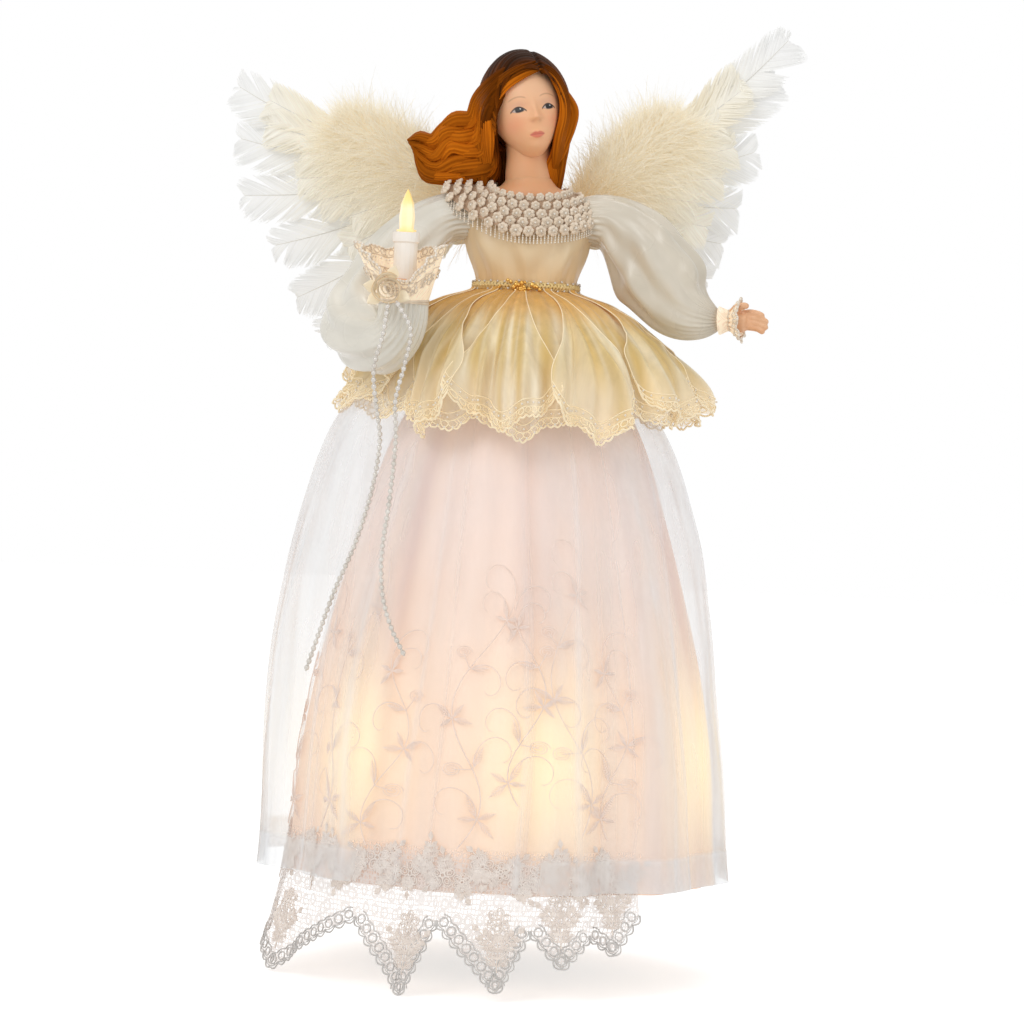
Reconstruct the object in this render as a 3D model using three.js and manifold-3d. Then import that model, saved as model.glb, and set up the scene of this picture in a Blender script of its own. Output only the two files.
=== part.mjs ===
// A lit angel tree topper: a plastic cone that goes over the tree's leader carries a moulded torso,
// a resin bust, wire arms in puffed sleeves, layered cloth skirts lit by push-in lamps, and two
// feather wings. Millimetres, +Z up; the figure faces -Y, and the origin is the centre of the
// cone's lower rim. Angles round the figure are measured from its front towards +X.

import * as THREE from "three";
import { mergeVertices } from "three/addons/utils/BufferGeometryUtils.js";
import Module from "manifold-3d";

const wasm = await Module();
wasm.setup();

// Gap between pieces that touch, and the cloth's thickness
const CLEARANCE = 0.35;
const CLOTH = 0.8;

// Base cone
const CONE_HEIGHT = 208;
const CONE_BASE_RADIUS = 62;
const CONE_TOP_RADIUS = 13;
const CONE_WALL = 1.6;
const CONE_SIDES = 26;
const RIM_WIDTH = 3;
const RIM_THICKNESS = 2;

// Push-in lamps and their sockets, in a ring through the cone's wall
const LAMP_BASE_RADIUS = 2.6;
const LAMP_BASE_LENGTH = 7;
const LAMP_GLASS_RADIUS = 2.9;
const LAMP_GLASS_LENGTH = 16;
const SOCKET_WALL = 0.9;
const SOCKET_LENGTH = 13;
const SOCKET_FLANGE_WIDTH = 1.4;
const SOCKET_FLANGE_THICKNESS = 1.6;
const LAMPS = 6;
const LAMP_HEIGHT = 42;
const LAMP_TURN = 12;
const LAMP_WIRE_RADIUS = 0.9;

// Torso: [height over the waist, half-width, half-depth]
const TORSO_SECTIONS = [
  [0, 17.5, 14.5],
  [13, 18, 14.5],
  [26, 22, 16.5],
  [37, 23.5, 14],
  [44, 19.5, 12],
  [48.5, 11.5, 10.5],
];
const TORSO_PLUG_LENGTH = 12;
const BODICE_BOTTOM = 1;
const BODICE_TOP = 44;
const SHOULDER_RISE = 37;

// Bust
const HEAD_HALF_WIDTH = 14;
const HEAD_HALF_DEPTH = 16.5;
const HEAD_HALF_HEIGHT = 20;
const HEAD_RISE = 79;
const HEAD_OFFSET = -2;
const HEAD_FORWARD = 3;
const HEAD_YAW = 12;
const HEAD_LEAN = 7;
const NECK_RADIUS = 8.6;
const NECK_FLARE_RADIUS = 10;
const NECK_PEG_RADIUS = 5;
const NECK_PEG_LENGTH = 11;

// Hair, as thick as it stands off the head, and its blown side: [x, y, height over the waist]
const HAIR_THICKNESS = 3.6;
const HAIRLINE_HALF_WIDTH = 11;
const HAIRLINE_RISE = 13;
const HAIR_FLOW = [
  [-8, 4, 77],
  [-22, 5, 65],
  [-34, 4, 60.5],
  [-44, 2, 61],
];
const HAIR_FALL = [
  [10, -1, 92],
  [14, -2, 78],
  [11.5, -3, 64],
  [9.5, -2, 53.5],
];

// Lamp-lit skirts: how far the lining stands off the cone, by share of the cone's height
const SKIRT_STANDOFF = [
  [-0.2, 16.5],
  [0, 16.5],
  [0.21, 23.5],
  [0.36, 26],
  [0.5, 26],
  [0.65, 25],
  [0.78, 22.5],
  [0.9, 14],
  [1, CLEARANCE],
];
const SKIRT_COLUMNS = 48;
const SKIRT_FOLDS = 12;
const SKIRT_ROWS = [0.997, 0.92, 0.875, 0.72, 0.5, 0.25, 0].map((share) => share * CONE_HEIGHT);
const LINING_FOLD_DEPTH = 3.5;
const LINING_HEM_DROP = 2;

// Apron: the embroidered front panel. Its lace hem hangs in points: [skirt column, drop below the rim]
const APRON_HEM = [
  [-12, 18],
  [-9, 38],
  [-5, 14],
  [-3, 39],
  [-2, 12],
  [0, 36],
  [1, 14],
  [2, 27],
  [3, 16],
  [4, 23],
  [5, 9],
];

// Overskirt: sheer organza that billows at both sides, by share of the cone's height
const OVERSKIRT_STANDOFF = 1;
const OVERSKIRT_FOLD_DEPTH = 2;
const LEFT_BILLOW_AT = -100;
const LEFT_BILLOW = [
  [0, 8],
  [0.19, 11.5],
  [0.54, 21],
  [0.79, 23.5],
  [0.86, 21.5],
  [0.91, 17],
  [0.96, 7],
  [1, 0],
];
const RIGHT_BILLOW_AT = 85;
const RIGHT_BILLOW = [
  [0, 0],
  [0.3, 0],
  [0.48, 5],
  [0.61, 8.5],
  [0.8, 7.5],
  [0.9, 4],
  [1, 0],
];
const BILLOW_SPREAD = 0.75;
const OVERSKIRT_HEM_DROP = 1;

// Peplum: [height over the waist, stand-off from the bodice], its hem's points, and its dent under
// the candle's sleeve
const PEPLUM_STANDOFF = [
  [-60, 39],
  [-34, 39],
  [-26, 37.5],
  [-17, 30],
  [-7, 18],
  [2, 6],
  [8, CLEARANCE],
];
const PEPLUM_TOP = 8;
const PEPLUM_GATHER = -2;
const PEPLUM_FRONT_HEM = -43;
const PEPLUM_SIDE_HEM = -34;
const PEPLUM_POINT_DEPTH = 5;
const PEPLUM_FOLD_DEPTH = 7;
const PEPLUM_DENT = 16;
const PEPLUM_DENT_AT = -62;
const PEPLUM_DENT_SPREAD = 0.38;

// Waist braid and collar
const BRAID_HEIGHT = 5;
const BRAID_THICKNESS = 2.4;
const BRAID_KNOBS = 18;
const COLLAR_TOP = 48.2;
const COLLAR_CANDLE_REACH = 16;
const COLLAR_SIDE_DROP = 6;
const COLLAR_FRONT_DROP = 16;
const COLLAR_FLARE = 2;
const COLLAR_FLORETS = 16;

// Arms: wires from the shoulder pivot, as [out, forward, up], and sleeve radii by share of length
const ARM_WIRE_RADIUS = 1.2;
const ARM_WIRE_GRIP = 14;
const SLEEVE_START = 3;
const OPEN_ARM = [
  [0, 0, 0],
  [7, 0, 0],
  [24, 6, -17],
  [33, 11, -31],
  [41, 15, -36],
  [48, 17, -36],
];
const OPEN_SLEEVE = [
  [0, 9.9],
  [0.2, 11.8],
  [0.42, 15.5],
  [0.68, 14.8],
  [0.86, 10],
  [1, 6],
];
const CANDLE_ARM = [
  [0, 0, 0],
  [7, 0, 0],
  [27, 9, -21],
  [35, 23, -43],
  [31, 37, -49],
  [20, 46, -48],
  [20, 46, -36],
];
const CANDLE_SLEEVE = [
  [0, 9.3],
  [0.2, 10.5],
  [0.42, 13.5],
  [0.6, 16],
  [0.82, 13],
  [1, 8.5],
];
const SLEEVE_COLUMNS = 16;
const SLEEVE_ROWS = 10;
const SLEEVE_GATHERS = 8;
const CUFF_LENGTH = 8;
const CUFF_FLARE = 3.6;
const CANDLE_CUFF_HEIGHT = 20;
const CANDLE_CUFF_DIP = 14;
const CANDLE_CUFF_RADIUS = 15.5;
const CANDLE_CUFF_TUCK = 0.5;
const CUFF_SCALLOPS = 8;

// Candle
const CANDLE_RADIUS = 4.3;
const CANDLE_LENGTH = 26;
const CANDLE_COLLAR_RADIUS = 4.9;
const CANDLE_COLLAR_HEIGHT = 4;
const CANDLE_BELOW_HAND = 5;
const CANDLE_AHEAD = 3.5;
const CANDLE_LIFT = 5;

// Hands
const WRIST_RADIUS = 3;
const PALM_LENGTH = 8;
const PALM_HALF_WIDTH = 3.6;
const PALM_HALF_THICKNESS = 2;
const FINGER_LENGTH = 8.5;
const FINGER_RADIUS = 1.2;

// Ribbon rose, and the routes of the pearl strands from the rose's centre
const ROSE_RADIUS = 5;
const ROSE_HEIGHT = 5;
const ROSE_TURNS = 2.6;
const ROSE_RIBBON = 0.7;
const PEARL_RADIUS = 1.2;
const PEARL_THREAD_RADIUS = 0.5;
const PEARL_PITCH = 3.5;
const OUTER_STRAND = [
  [0.5, -0.5, -5.1],
  [-0.9, -1.5, -16.8],
  [-3.4, -2.5, -27.5],
  [-3.4, -3, -34],
  [-1.4, -3.5, -46.3],
  [-0.3, -3.5, -54.5],
  [-2.4, -3.5, -72.8],
  [-7.7, -3.5, -92.8],
  [-14.2, -2.5, -109.4],
  [-19, -1.5, -124.2],
  [-23.7, -0.5, -139.5],
];
const INNER_STRAND = [
  [3.4, -0.5, -4.3],
  [9, -1, -14.3],
  [7.5, -2.5, -27],
  [4.8, -4.5, -40],
  [5.5, -5.5, -54.3],
  [4.3, -7.5, -76],
  [2.3, -8.5, -98],
  [3.7, -9.5, -112.3],
  [7.4, -10.5, -123],
  [12.2, -10.5, -132],
];

// Wings: feather tips and the fluff's line as [out, up] from each wing's hinge
const WING_HINGE_OUT = 7;
const WING_HINGE_BACK = 20.5;
const WING_HINGE_RISE = 32;
const WING_SWEEP = 10;
const WING_WIRE_RADIUS = 0.9;
const WING_STEM_GRIP = 8;
const WING_CARD_THICKNESS = 1;
const FEATHER_THICKNESS = 0.8;
const FEATHER_HALF_WIDTH = 9.5;
const FEATHER_BOW = 4;
const LEFT_TIPS = [
  [108, 54],
  [107, 34],
  [105, 12],
  [92, -7],
  [83, -27],
  [72, -40],
];
const RIGHT_TIPS = [
  [91, 81],
  [86, 65],
  [80, 37],
  [74, 15],
  [69, 1],
  [64, -13],
];
const LEFT_ARM = [
  [9, 6],
  [41, 27],
  [70, 41],
];
const RIGHT_ARM = [
  [9, 6],
  [30, 29],
  [50, 47],
];
const DOWN_HALF_HEIGHT = 15;
const DOWN_HALF_DEPTH = 4.5;

const WAIST = CONE_HEIGHT + CLEARANCE;
const SHOULDER_HEIGHT = WAIST + SHOULDER_RISE;
const PEPLUM_ROWS = [PEPLUM_TOP, PEPLUM_GATHER, SKIRT_ROWS[1] - WAIST, SKIRT_ROWS[2] - WAIST];
const SOCKET_BORE = LAMP_BASE_RADIUS + CLEARANCE;
const SOCKET_RADIUS = SOCKET_BORE + SOCKET_WALL;

const rad = THREE.MathUtils.degToRad;
const vector = (x, y, z) => new THREE.Vector3(x, y, z);
const bell = (offset, width) => Math.exp(-((offset / width) ** 2));
const ease = (share) => THREE.MathUtils.smoothstep(share, 0, 1);
const around = (radius, angle, z) => vector(radius * Math.sin(angle), -radius * Math.cos(angle), z);

// Materials, one call per mesh so that each mesh owns its material
const FINISHES = {
  plastic: { color: 0xf2f0ea, roughness: 0.45 },
  lamp_glass: { color: 0xfff2cf, roughness: 0.12, emissive: 0xffd98a, emissiveIntensity: 0.6 },
  wire: { color: 0xf4f2ea, roughness: 0.5 },
  steel: { color: 0xb8b8b8, roughness: 0.4, metalness: 0.9 },
  foam: { color: 0xefece2, roughness: 0.9 },
  resin: { color: 0xecc2a8, roughness: 0.5 },
  hair: { color: 0x7a4218, roughness: 0.55 },
  satin: { color: 0xf6e3cf, roughness: 0.4 },
  silver_satin: { color: 0xe4e3de, roughness: 0.35 },
  lining: { color: 0xfae6dc, roughness: 0.5 },
  organza: { color: 0xeceae6, roughness: 0.5 },
  cream_organza: { color: 0xeddfae, roughness: 0.5 },
  lace: { color: 0xd8d4cc, roughness: 0.6 },
  gold: { color: 0xc79a45, roughness: 0.35, metalness: 0.8 },
  ribbon: { color: 0xf3e6c8, roughness: 0.4 },
  pearl: { color: 0xe9e4d8, roughness: 0.2 },
  card: { color: 0xf4f2ec, roughness: 0.9 },
  feather: { color: 0xf7f4ec, roughness: 0.8 },
  down: { color: 0xf6ead0, roughness: 0.95 },
};

function part(name, geometry, finish) {
  const mesh = new THREE.Mesh(geometry, new THREE.MeshStandardMaterial(FINISHES[finish]));
  mesh.name = name;
  return mesh;
}

// The smooth curve through [x, value] pairs in order of x, level beyond its ends
function profile(pairs) {
  const slopes = pairs.map((pair, i) => {
    const before = pairs[Math.max(i - 1, 0)];
    const after = pairs[Math.min(i + 1, pairs.length - 1)];
    return (after[1] - before[1]) / (after[0] - before[0]);
  });
  return (x) => {
    let i = 0;
    while (i < pairs.length - 2 && x > pairs[i + 1][0]) {
      i += 1;
    }
    const span = pairs[i + 1][0] - pairs[i][0];
    const t = THREE.MathUtils.clamp((x - pairs[i][0]) / span, 0, 1);
    const s = 1 - t;
    const ends = pairs[i][1] * s * s * (1 + 2 * t) + pairs[i + 1][1] * t * t * (3 - 2 * t);
    return ends + span * s * t * (slopes[i] * s - slopes[i + 1] * t);
  };
}

// A thin closed solid between an outer and an inner face. Both are functions of u, leftwards to
// rightwards seen from outside, and v, from the top down, each from 0 to 1.
function sheet(outer, inner, columns, rows, wrapped) {
  const across = wrapped ? columns : columns + 1;
  const positions = [];
  for (const face of [outer, inner]) {
    for (let row = 0; row <= rows; row += 1) {
      for (let column = 0; column < across; column += 1) {
        positions.push(...face(column / columns, row / rows).toArray());
      }
    }
  }
  const front = (column, row) => row * across + (column % across);
  const back = (column, row) => across * (rows + 1) + front(column, row);
  const index = [];
  const quad = (a, b, c, d) => index.push(a, b, c, a, c, d);
  for (let column = 0; column < columns; column += 1) {
    const next = column + 1;
    for (let row = 0; row < rows; row += 1) {
      const below = row + 1;
      quad(front(column, row), front(column, below), front(next, below), front(next, row));
      quad(back(column, row), back(next, row), back(next, below), back(column, below));
    }
    quad(front(column, 0), front(next, 0), back(next, 0), back(column, 0));
    quad(front(next, rows), front(column, rows), back(column, rows), back(next, rows));
  }
  for (let row = 0; !wrapped && row < rows; row += 1) {
    const below = row + 1;
    quad(front(0, row), back(0, row), back(0, below), front(0, below));
    quad(front(columns, below), back(columns, below), back(columns, row), front(columns, row));
  }
  return indexed(positions, index);
}

// A closed body whose sections are rings of points, capped at both ends
function skin(pointAt, columns, rows) {
  const positions = [];
  const ends = [vector(0, 0, 0), vector(0, 0, 0)];
  for (let row = 0; row <= rows; row += 1) {
    for (let column = 0; column < columns; column += 1) {
      const point = pointAt(column / columns, row / rows);
      positions.push(...point.toArray());
      if (row === 0) {
        ends[0].addScaledVector(point, 1 / columns);
      }
      if (row === rows) {
        ends[1].addScaledVector(point, 1 / columns);
      }
    }
  }
  positions.push(...ends[0].toArray(), ...ends[1].toArray());
  const first = columns * (rows + 1);
  const at = (column, row) => row * columns + (column % columns);
  const index = [];
  for (let column = 0; column < columns; column += 1) {
    const next = column + 1;
    for (let row = 0; row < rows; row += 1) {
      index.push(at(column, row), at(column, row + 1), at(next, row + 1));
      index.push(at(column, row), at(next, row + 1), at(next, row));
    }
    index.push(first, at(column, 0), at(next, 0));
    index.push(first + 1, at(next, rows), at(column, rows));
  }
  return indexed(positions, index);
}

function indexed(positions, index) {
  const geometry = new THREE.BufferGeometry();
  geometry.setAttribute("position", new THREE.Float32BufferAttribute(positions, 3));
  geometry.setIndex(index);
  return geometry;
}

// The same body on the other side of the figure
function mirrored(geometry) {
  const copy = geometry.clone().scale(-1, 1, 1);
  const corners = copy.index.array;
  for (let i = 0; i < corners.length; i += 3) {
    [corners[i], corners[i + 1]] = [corners[i + 1], corners[i]];
  }
  return copy;
}

// Points round a curve: u is the share of a turn and v the share of its length
function alongCurve(curve, steps) {
  const frames = curve.computeFrenetFrames(steps, false);
  return (u, v, wide, high) => {
    const step = Math.round(v * steps);
    const turn = 2 * Math.PI * u;
    const point = curve.getPointAt(v);
    point.addScaledVector(frames.normals[step], wide * Math.cos(turn));
    return point.addScaledVector(frames.binormals[step], -high * Math.sin(turn));
  };
}

const spline = (points) => new THREE.CatmullRomCurve3(points.map((p) => vector(...p)), false, "centripetal");

// A round body along a curve, its radius a function of the share of the curve's length
function sweep(curve, steps, sides, radiusAt) {
  const ring = alongCurve(curve, steps);
  return skin((u, v) => ring(u, v, radiusAt(v), radiusAt(v)), sides, steps);
}

// A wire of one radius along a curve
function wire(curve, radius, steps, sides) {
  const section = new THREE.Shape();
  for (let side = 0; side < sides; side += 1) {
    const turn = (2 * Math.PI * side) / sides;
    const point = [radius * Math.cos(turn), radius * Math.sin(turn)];
    if (side === 0) {
      section.moveTo(...point);
    } else {
      section.lineTo(...point);
    }
  }
  return new THREE.ExtrudeGeometry(section, { steps, bevelEnabled: false, extrudePath: curve });
}

// A body of revolution about +Z from [radius, height] points, which run from below upwards
function turned(points, sides) {
  const outline = points.map(([radius, height]) => new THREE.Vector2(radius, height));
  return new THREE.LatheGeometry(outline, sides).rotateX(Math.PI / 2);
}

const rod = (radius, from, to, sides) =>
  turned([[0, from], [radius, from], [radius, to], [0, to]], sides);

// A rod between two points
function rodBetween(radius, start, end, sides) {
  const reach = end.clone().sub(start);
  const turn = new THREE.Quaternion().setFromUnitVectors(vector(0, 0, 1), reach.clone().normalize());
  const geometry = rod(radius, 0, reach.length(), sides).applyQuaternion(turn);
  return geometry.translate(start.x, start.y, start.z);
}

function solid(geometry) {
  const bare = geometry.clone();
  bare.deleteAttribute("normal");
  bare.deleteAttribute("uv");
  const merged = mergeVertices(bare, 1e-4);
  const vertProperties = new Float32Array(merged.attributes.position.array);
  const triVerts = new Uint32Array(merged.index.array);
  return new wasm.Manifold(new wasm.Mesh({ numProp: 3, vertProperties, triVerts }));
}

function meshed(body) {
  const made = body.getMesh();
  return indexed(Array.from(made.vertProperties), Array.from(made.triVerts));
}

const joined = (...geometries) => meshed(geometries.map(solid).reduce((a, b) => a.add(b)));
const cut = (geometry, ...tools) => meshed(tools.map(solid).reduce((a, b) => a.subtract(b), solid(geometry)));

// The candle's lead climbs a channel in the torso and leaves it beside the arm wire
const LEAD_CHANNEL = vector(-6, 5, 0);
const LEAD_FOOT = CONE_HEIGHT - 2 * TORSO_PLUG_LENGTH;
const LEAD_RISE = SHOULDER_RISE - 4 * ARM_WIRE_RADIUS;
const LEAD_BORE = LAMP_WIRE_RADIUS + 4 * CLEARANCE;

// Base cone, lamps and lamp wire

const coneRadius = (z) => CONE_BASE_RADIUS + ((CONE_TOP_RADIUS - CONE_BASE_RADIUS) * z) / CONE_HEIGHT;
const CONE_SLOPE = Math.atan((CONE_BASE_RADIUS - CONE_TOP_RADIUS) / CONE_HEIGHT);

const LAMP_SEATS = Array.from({ length: LAMPS }, (_, i) => {
  const angle = rad(LAMP_TURN) + (2 * Math.PI * i) / LAMPS;
  const seat = around(coneRadius(LAMP_HEIGHT), angle, LAMP_HEIGHT);
  const out = around(Math.cos(CONE_SLOPE), angle, Math.sin(CONE_SLOPE));
  return { angle, seat, out };
});

function coneBody() {
  const inner = CONE_BASE_RADIUS - CONE_WALL;
  const shell = turned(
    [
      [inner, 0],
      [CONE_BASE_RADIUS + RIM_WIDTH, 0],
      [CONE_BASE_RADIUS + RIM_WIDTH, RIM_THICKNESS],
      [coneRadius(RIM_THICKNESS), RIM_THICKNESS],
      [CONE_TOP_RADIUS, CONE_HEIGHT],
      [CONE_TOP_RADIUS - CONE_WALL, CONE_HEIGHT],
      [inner, 0],
    ],
    CONE_SIDES,
  );
  const holes = LAMP_SEATS.map(({ seat, out }) => {
    const start = seat.clone().addScaledVector(out, -3 * CONE_WALL);
    const end = seat.clone().addScaledVector(out, 3 * CONE_WALL);
    return rodBetween(SOCKET_RADIUS + CLEARANCE, start, end, 8);
  });
  return cut(shell, ...holes);
}

function socketBody() {
  return turned(
    [
      [0, -SOCKET_LENGTH],
      [SOCKET_RADIUS - SOCKET_WALL, -SOCKET_LENGTH],
      [SOCKET_RADIUS, -SOCKET_LENGTH + 2 * SOCKET_WALL],
      [SOCKET_RADIUS, CLEARANCE],
      [SOCKET_RADIUS + SOCKET_FLANGE_WIDTH, CLEARANCE],
      [SOCKET_RADIUS + SOCKET_FLANGE_WIDTH, CLEARANCE + SOCKET_FLANGE_THICKNESS],
      [SOCKET_BORE, CLEARANCE + SOCKET_FLANGE_THICKNESS],
      [SOCKET_BORE, SOCKET_FLANGE_THICKNESS - LAMP_BASE_LENGTH],
      [0, SOCKET_FLANGE_THICKNESS - LAMP_BASE_LENGTH],
    ],
    8,
  );
}

// A lamp whose shoulder rests on a socket mouth at height 0
function lampBody() {
  return turned(
    [
      [0, -LAMP_BASE_LENGTH],
      [LAMP_BASE_RADIUS, -LAMP_BASE_LENGTH],
      [LAMP_BASE_RADIUS, CLEARANCE],
      [LAMP_GLASS_RADIUS + 2 * CLEARANCE, CLEARANCE],
      [LAMP_GLASS_RADIUS + 2 * CLEARANCE, 3 * CLEARANCE],
      [0.88 * LAMP_GLASS_RADIUS, 3 * CLEARANCE],
      [LAMP_GLASS_RADIUS, 0.35 * LAMP_GLASS_LENGTH],
      [0.82 * LAMP_GLASS_RADIUS, 0.65 * LAMP_GLASS_LENGTH],
      [0.3 * LAMP_GLASS_RADIUS, 0.9 * LAMP_GLASS_LENGTH],
      [0, LAMP_GLASS_LENGTH],
    ],
    8,
  );
}

function seated(mesh, { seat, out }, lift) {
  mesh.position.copy(seat).addScaledVector(out, lift);
  mesh.quaternion.setFromUnitVectors(vector(0, 0, 1), out);
  return mesh;
}

// The lamp wire passes close behind each socket, swings out to the cone's wall between them, and
// climbs to the candle's lead in the cone's top
function lampWire() {
  const behind = SOCKET_LENGTH + CLEARANCE + LAMP_WIRE_RADIUS;
  const slack = coneRadius(LAMP_HEIGHT) - CONE_WALL - 2 * LAMP_WIRE_RADIUS - behind / 3;
  const points = [];
  LAMP_SEATS.forEach(({ angle, seat, out }) => {
    points.push(seat.clone().addScaledVector(out, -behind));
    points.push(around(slack, angle + Math.PI / LAMPS, LAMP_HEIGHT - 3));
  });
  const top = LEAD_CHANNEL.clone().setZ(LEAD_FOOT - CLEARANCE);
  const middle = (LAMP_HEIGHT + LEAD_FOOT) / 2;
  points.push(around(coneRadius(middle) - 4 * CONE_WALL, rad(LAMP_TURN), middle));
  points.push(top.clone().add(vector(0, 0, -12)), top);
  return wire(new THREE.CatmullRomCurve3(points, false, "centripetal"), LAMP_WIRE_RADIUS, 44, 5);
}

// Torso, bodice and bust

const torsoWidth = profile(TORSO_SECTIONS.map(([rise, width]) => [rise, width]));
const torsoDepth = profile(TORSO_SECTIONS.map(([rise, , depth]) => [rise, depth]));
const TORSO_RISE = TORSO_SECTIONS.at(-1)[0];

// A point on the torso, grown outwards, at a height over the waist
function torsoPoint(angle, rise, grow) {
  const x = (torsoWidth(rise) + grow) * Math.sin(angle);
  const y = -(torsoDepth(rise) + grow) * Math.cos(angle);
  return vector(x, y, WAIST + rise);
}

const pivot = (side) => vector(side * (torsoWidth(SHOULDER_RISE) + CLEARANCE + CLOTH), 0, SHOULDER_HEIGHT);
const wingHinge = (side) => vector(side * WING_HINGE_OUT, WING_HINGE_BACK, WAIST + WING_HINGE_RISE);

// Holes for the arm wires, the wing stems and the candle's lead, through torso and bodice alike
function bodyBores() {
  const bores = [];
  for (const side of [-1, 1]) {
    const shoulder = pivot(side);
    const inside = shoulder.clone().add(vector(-side * (ARM_WIRE_GRIP + CLEARANCE), 0, 0));
    const outside = shoulder.clone().add(vector(side * SLEEVE_START, 0, 0));
    bores.push(rodBetween(ARM_WIRE_RADIUS + CLEARANCE, inside, outside, 8));
    const hinge = wingHinge(side);
    const deep = hinge.clone().add(vector(0, -WING_STEM_GRIP - CLEARANCE, 0));
    bores.push(rodBetween(WING_WIRE_RADIUS + CLEARANCE, deep, hinge, 8));
  }
  const leadTop = LEAD_CHANNEL.clone().setZ(WAIST + LEAD_RISE);
  const leadOut = leadTop.clone().setX(pivot(-1).x - SLEEVE_START);
  bores.push(rodBetween(LEAD_BORE, leadTop, leadOut, 8));
  return bores;
}

function torsoForm() {
  const rises = TORSO_SECTIONS.map(([rise]) => rise);
  const body = skin((u, v) => {
    const rise = rises[rises.length - 1 - Math.round(v * (rises.length - 1))];
    return torsoPoint(2 * Math.PI * u, rise, 0);
  }, 16, rises.length - 1);
  const plug = rod(CONE_TOP_RADIUS - CONE_WALL - CLEARANCE, CONE_HEIGHT - TORSO_PLUG_LENGTH, WAIST + 2, 16);
  const neckHole = rod(NECK_PEG_RADIUS + CLEARANCE, 0, NECK_PEG_LENGTH + 5, 12);
  neckHole.translate(HEAD_OFFSET / 2, 0, WAIST + TORSO_RISE - NECK_PEG_LENGTH);
  const channelBottom = LEAD_CHANNEL.clone().setZ(LEAD_FOOT);
  const channelTop = LEAD_CHANNEL.clone().setZ(WAIST + LEAD_RISE);
  const channel = rodBetween(LEAD_BORE, channelBottom, channelTop.add(vector(0, 0, LEAD_BORE)), 8);
  return cut(joined(body, plug), neckHole, channel, ...bodyBores());
}

// The bodice takes the torso's own sections between its edges, so that it lies on the torso
function bodice() {
  const between = TORSO_SECTIONS.map(([rise]) => rise).filter((rise) => rise > BODICE_BOTTOM && rise < BODICE_TOP);
  const rises = [BODICE_TOP, ...between.reverse(), BODICE_BOTTOM];
  const face = (grow) => (u, v) => torsoPoint(2 * Math.PI * u, rises[Math.round(v * (rises.length - 1))], grow);
  const cloth = sheet(face(CLEARANCE + CLOTH), face(CLEARANCE), 16, rises.length - 1, true);
  return cut(cloth, ...bodyBores());
}

// A point on the head, in its own frame, grown outwards: u runs round from the face, v downwards.
// Columns crowd towards the face, where the features are.
function headPoint(u, v, grow) {
  const angle = 2 * Math.PI * u - 0.6 * Math.sin(2 * Math.PI * u);
  const polar = Math.PI * (0.03 + 0.94 * v);
  const low = ease(-Math.cos(polar));
  const x = Math.sin(polar) * Math.sin(angle) * (HEAD_HALF_WIDTH * (1 - 0.26 * low) + grow);
  const z = Math.cos(polar) * (HEAD_HALF_HEIGHT + grow);
  const facing = Math.max(Math.cos(angle), 0);
  const across = x / HEAD_HALF_WIDTH;
  const up = z / HEAD_HALF_HEIGHT;
  const nose = 0.21 * bell(across, 0.13) * bell(up + 0.2 - 0.1 * Math.abs(up), 0.19);
  const eyes = -0.08 * bell(Math.abs(across) - 0.42, 0.22) * bell(up - 0.1, 0.13);
  const lips = 0.07 * bell(across, 0.24) * bell(up + 0.52, 0.09);
  const chin = 0.1 * bell(across, 0.36) * bell(up + 0.8, 0.16);
  const cheeks = 0.05 * bell(Math.abs(across) - 0.5, 0.25) * bell(up + 0.25, 0.25);
  const relief = facing * (nose + eyes + lips + chin + cheeks);
  const depth = HEAD_HALF_DEPTH * (1 + relief) + grow;
  const y = -Math.sin(polar) * Math.cos(angle) * depth - 0.2 * HEAD_HALF_DEPTH * low;
  return vector(x, y, z);
}

function placedHead(geometry) {
  geometry.rotateZ(rad(HEAD_YAW)).rotateY(-rad(HEAD_LEAN));
  return geometry.translate(HEAD_OFFSET, -HEAD_FORWARD, WAIST + HEAD_RISE);
}

const headShape = (grow, columns, rows) => placedHead(skin((u, v) => headPoint(u, v, grow), columns, rows));

function neckShape(grow, peg) {
  const base = WAIST + TORSO_RISE + CLEARANCE;
  const top = WAIST + HEAD_RISE - 0.35 * HEAD_HALF_HEIGHT;
  const points = [
    [0, peg ? base - NECK_PEG_LENGTH + CLEARANCE : base],
    [NECK_PEG_RADIUS, peg ? base - NECK_PEG_LENGTH + CLEARANCE : base],
    [NECK_PEG_RADIUS, base],
    [NECK_FLARE_RADIUS + grow, base],
    [NECK_RADIUS + grow, base + 0.4 * (top - base)],
    [NECK_RADIUS + grow, top],
    [0, top],
  ];
  return turned(points, 14).translate(HEAD_OFFSET / 2, 0, 0);
}

const bust = () => joined(headShape(0, 24, 17), neckShape(0, true));

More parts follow.
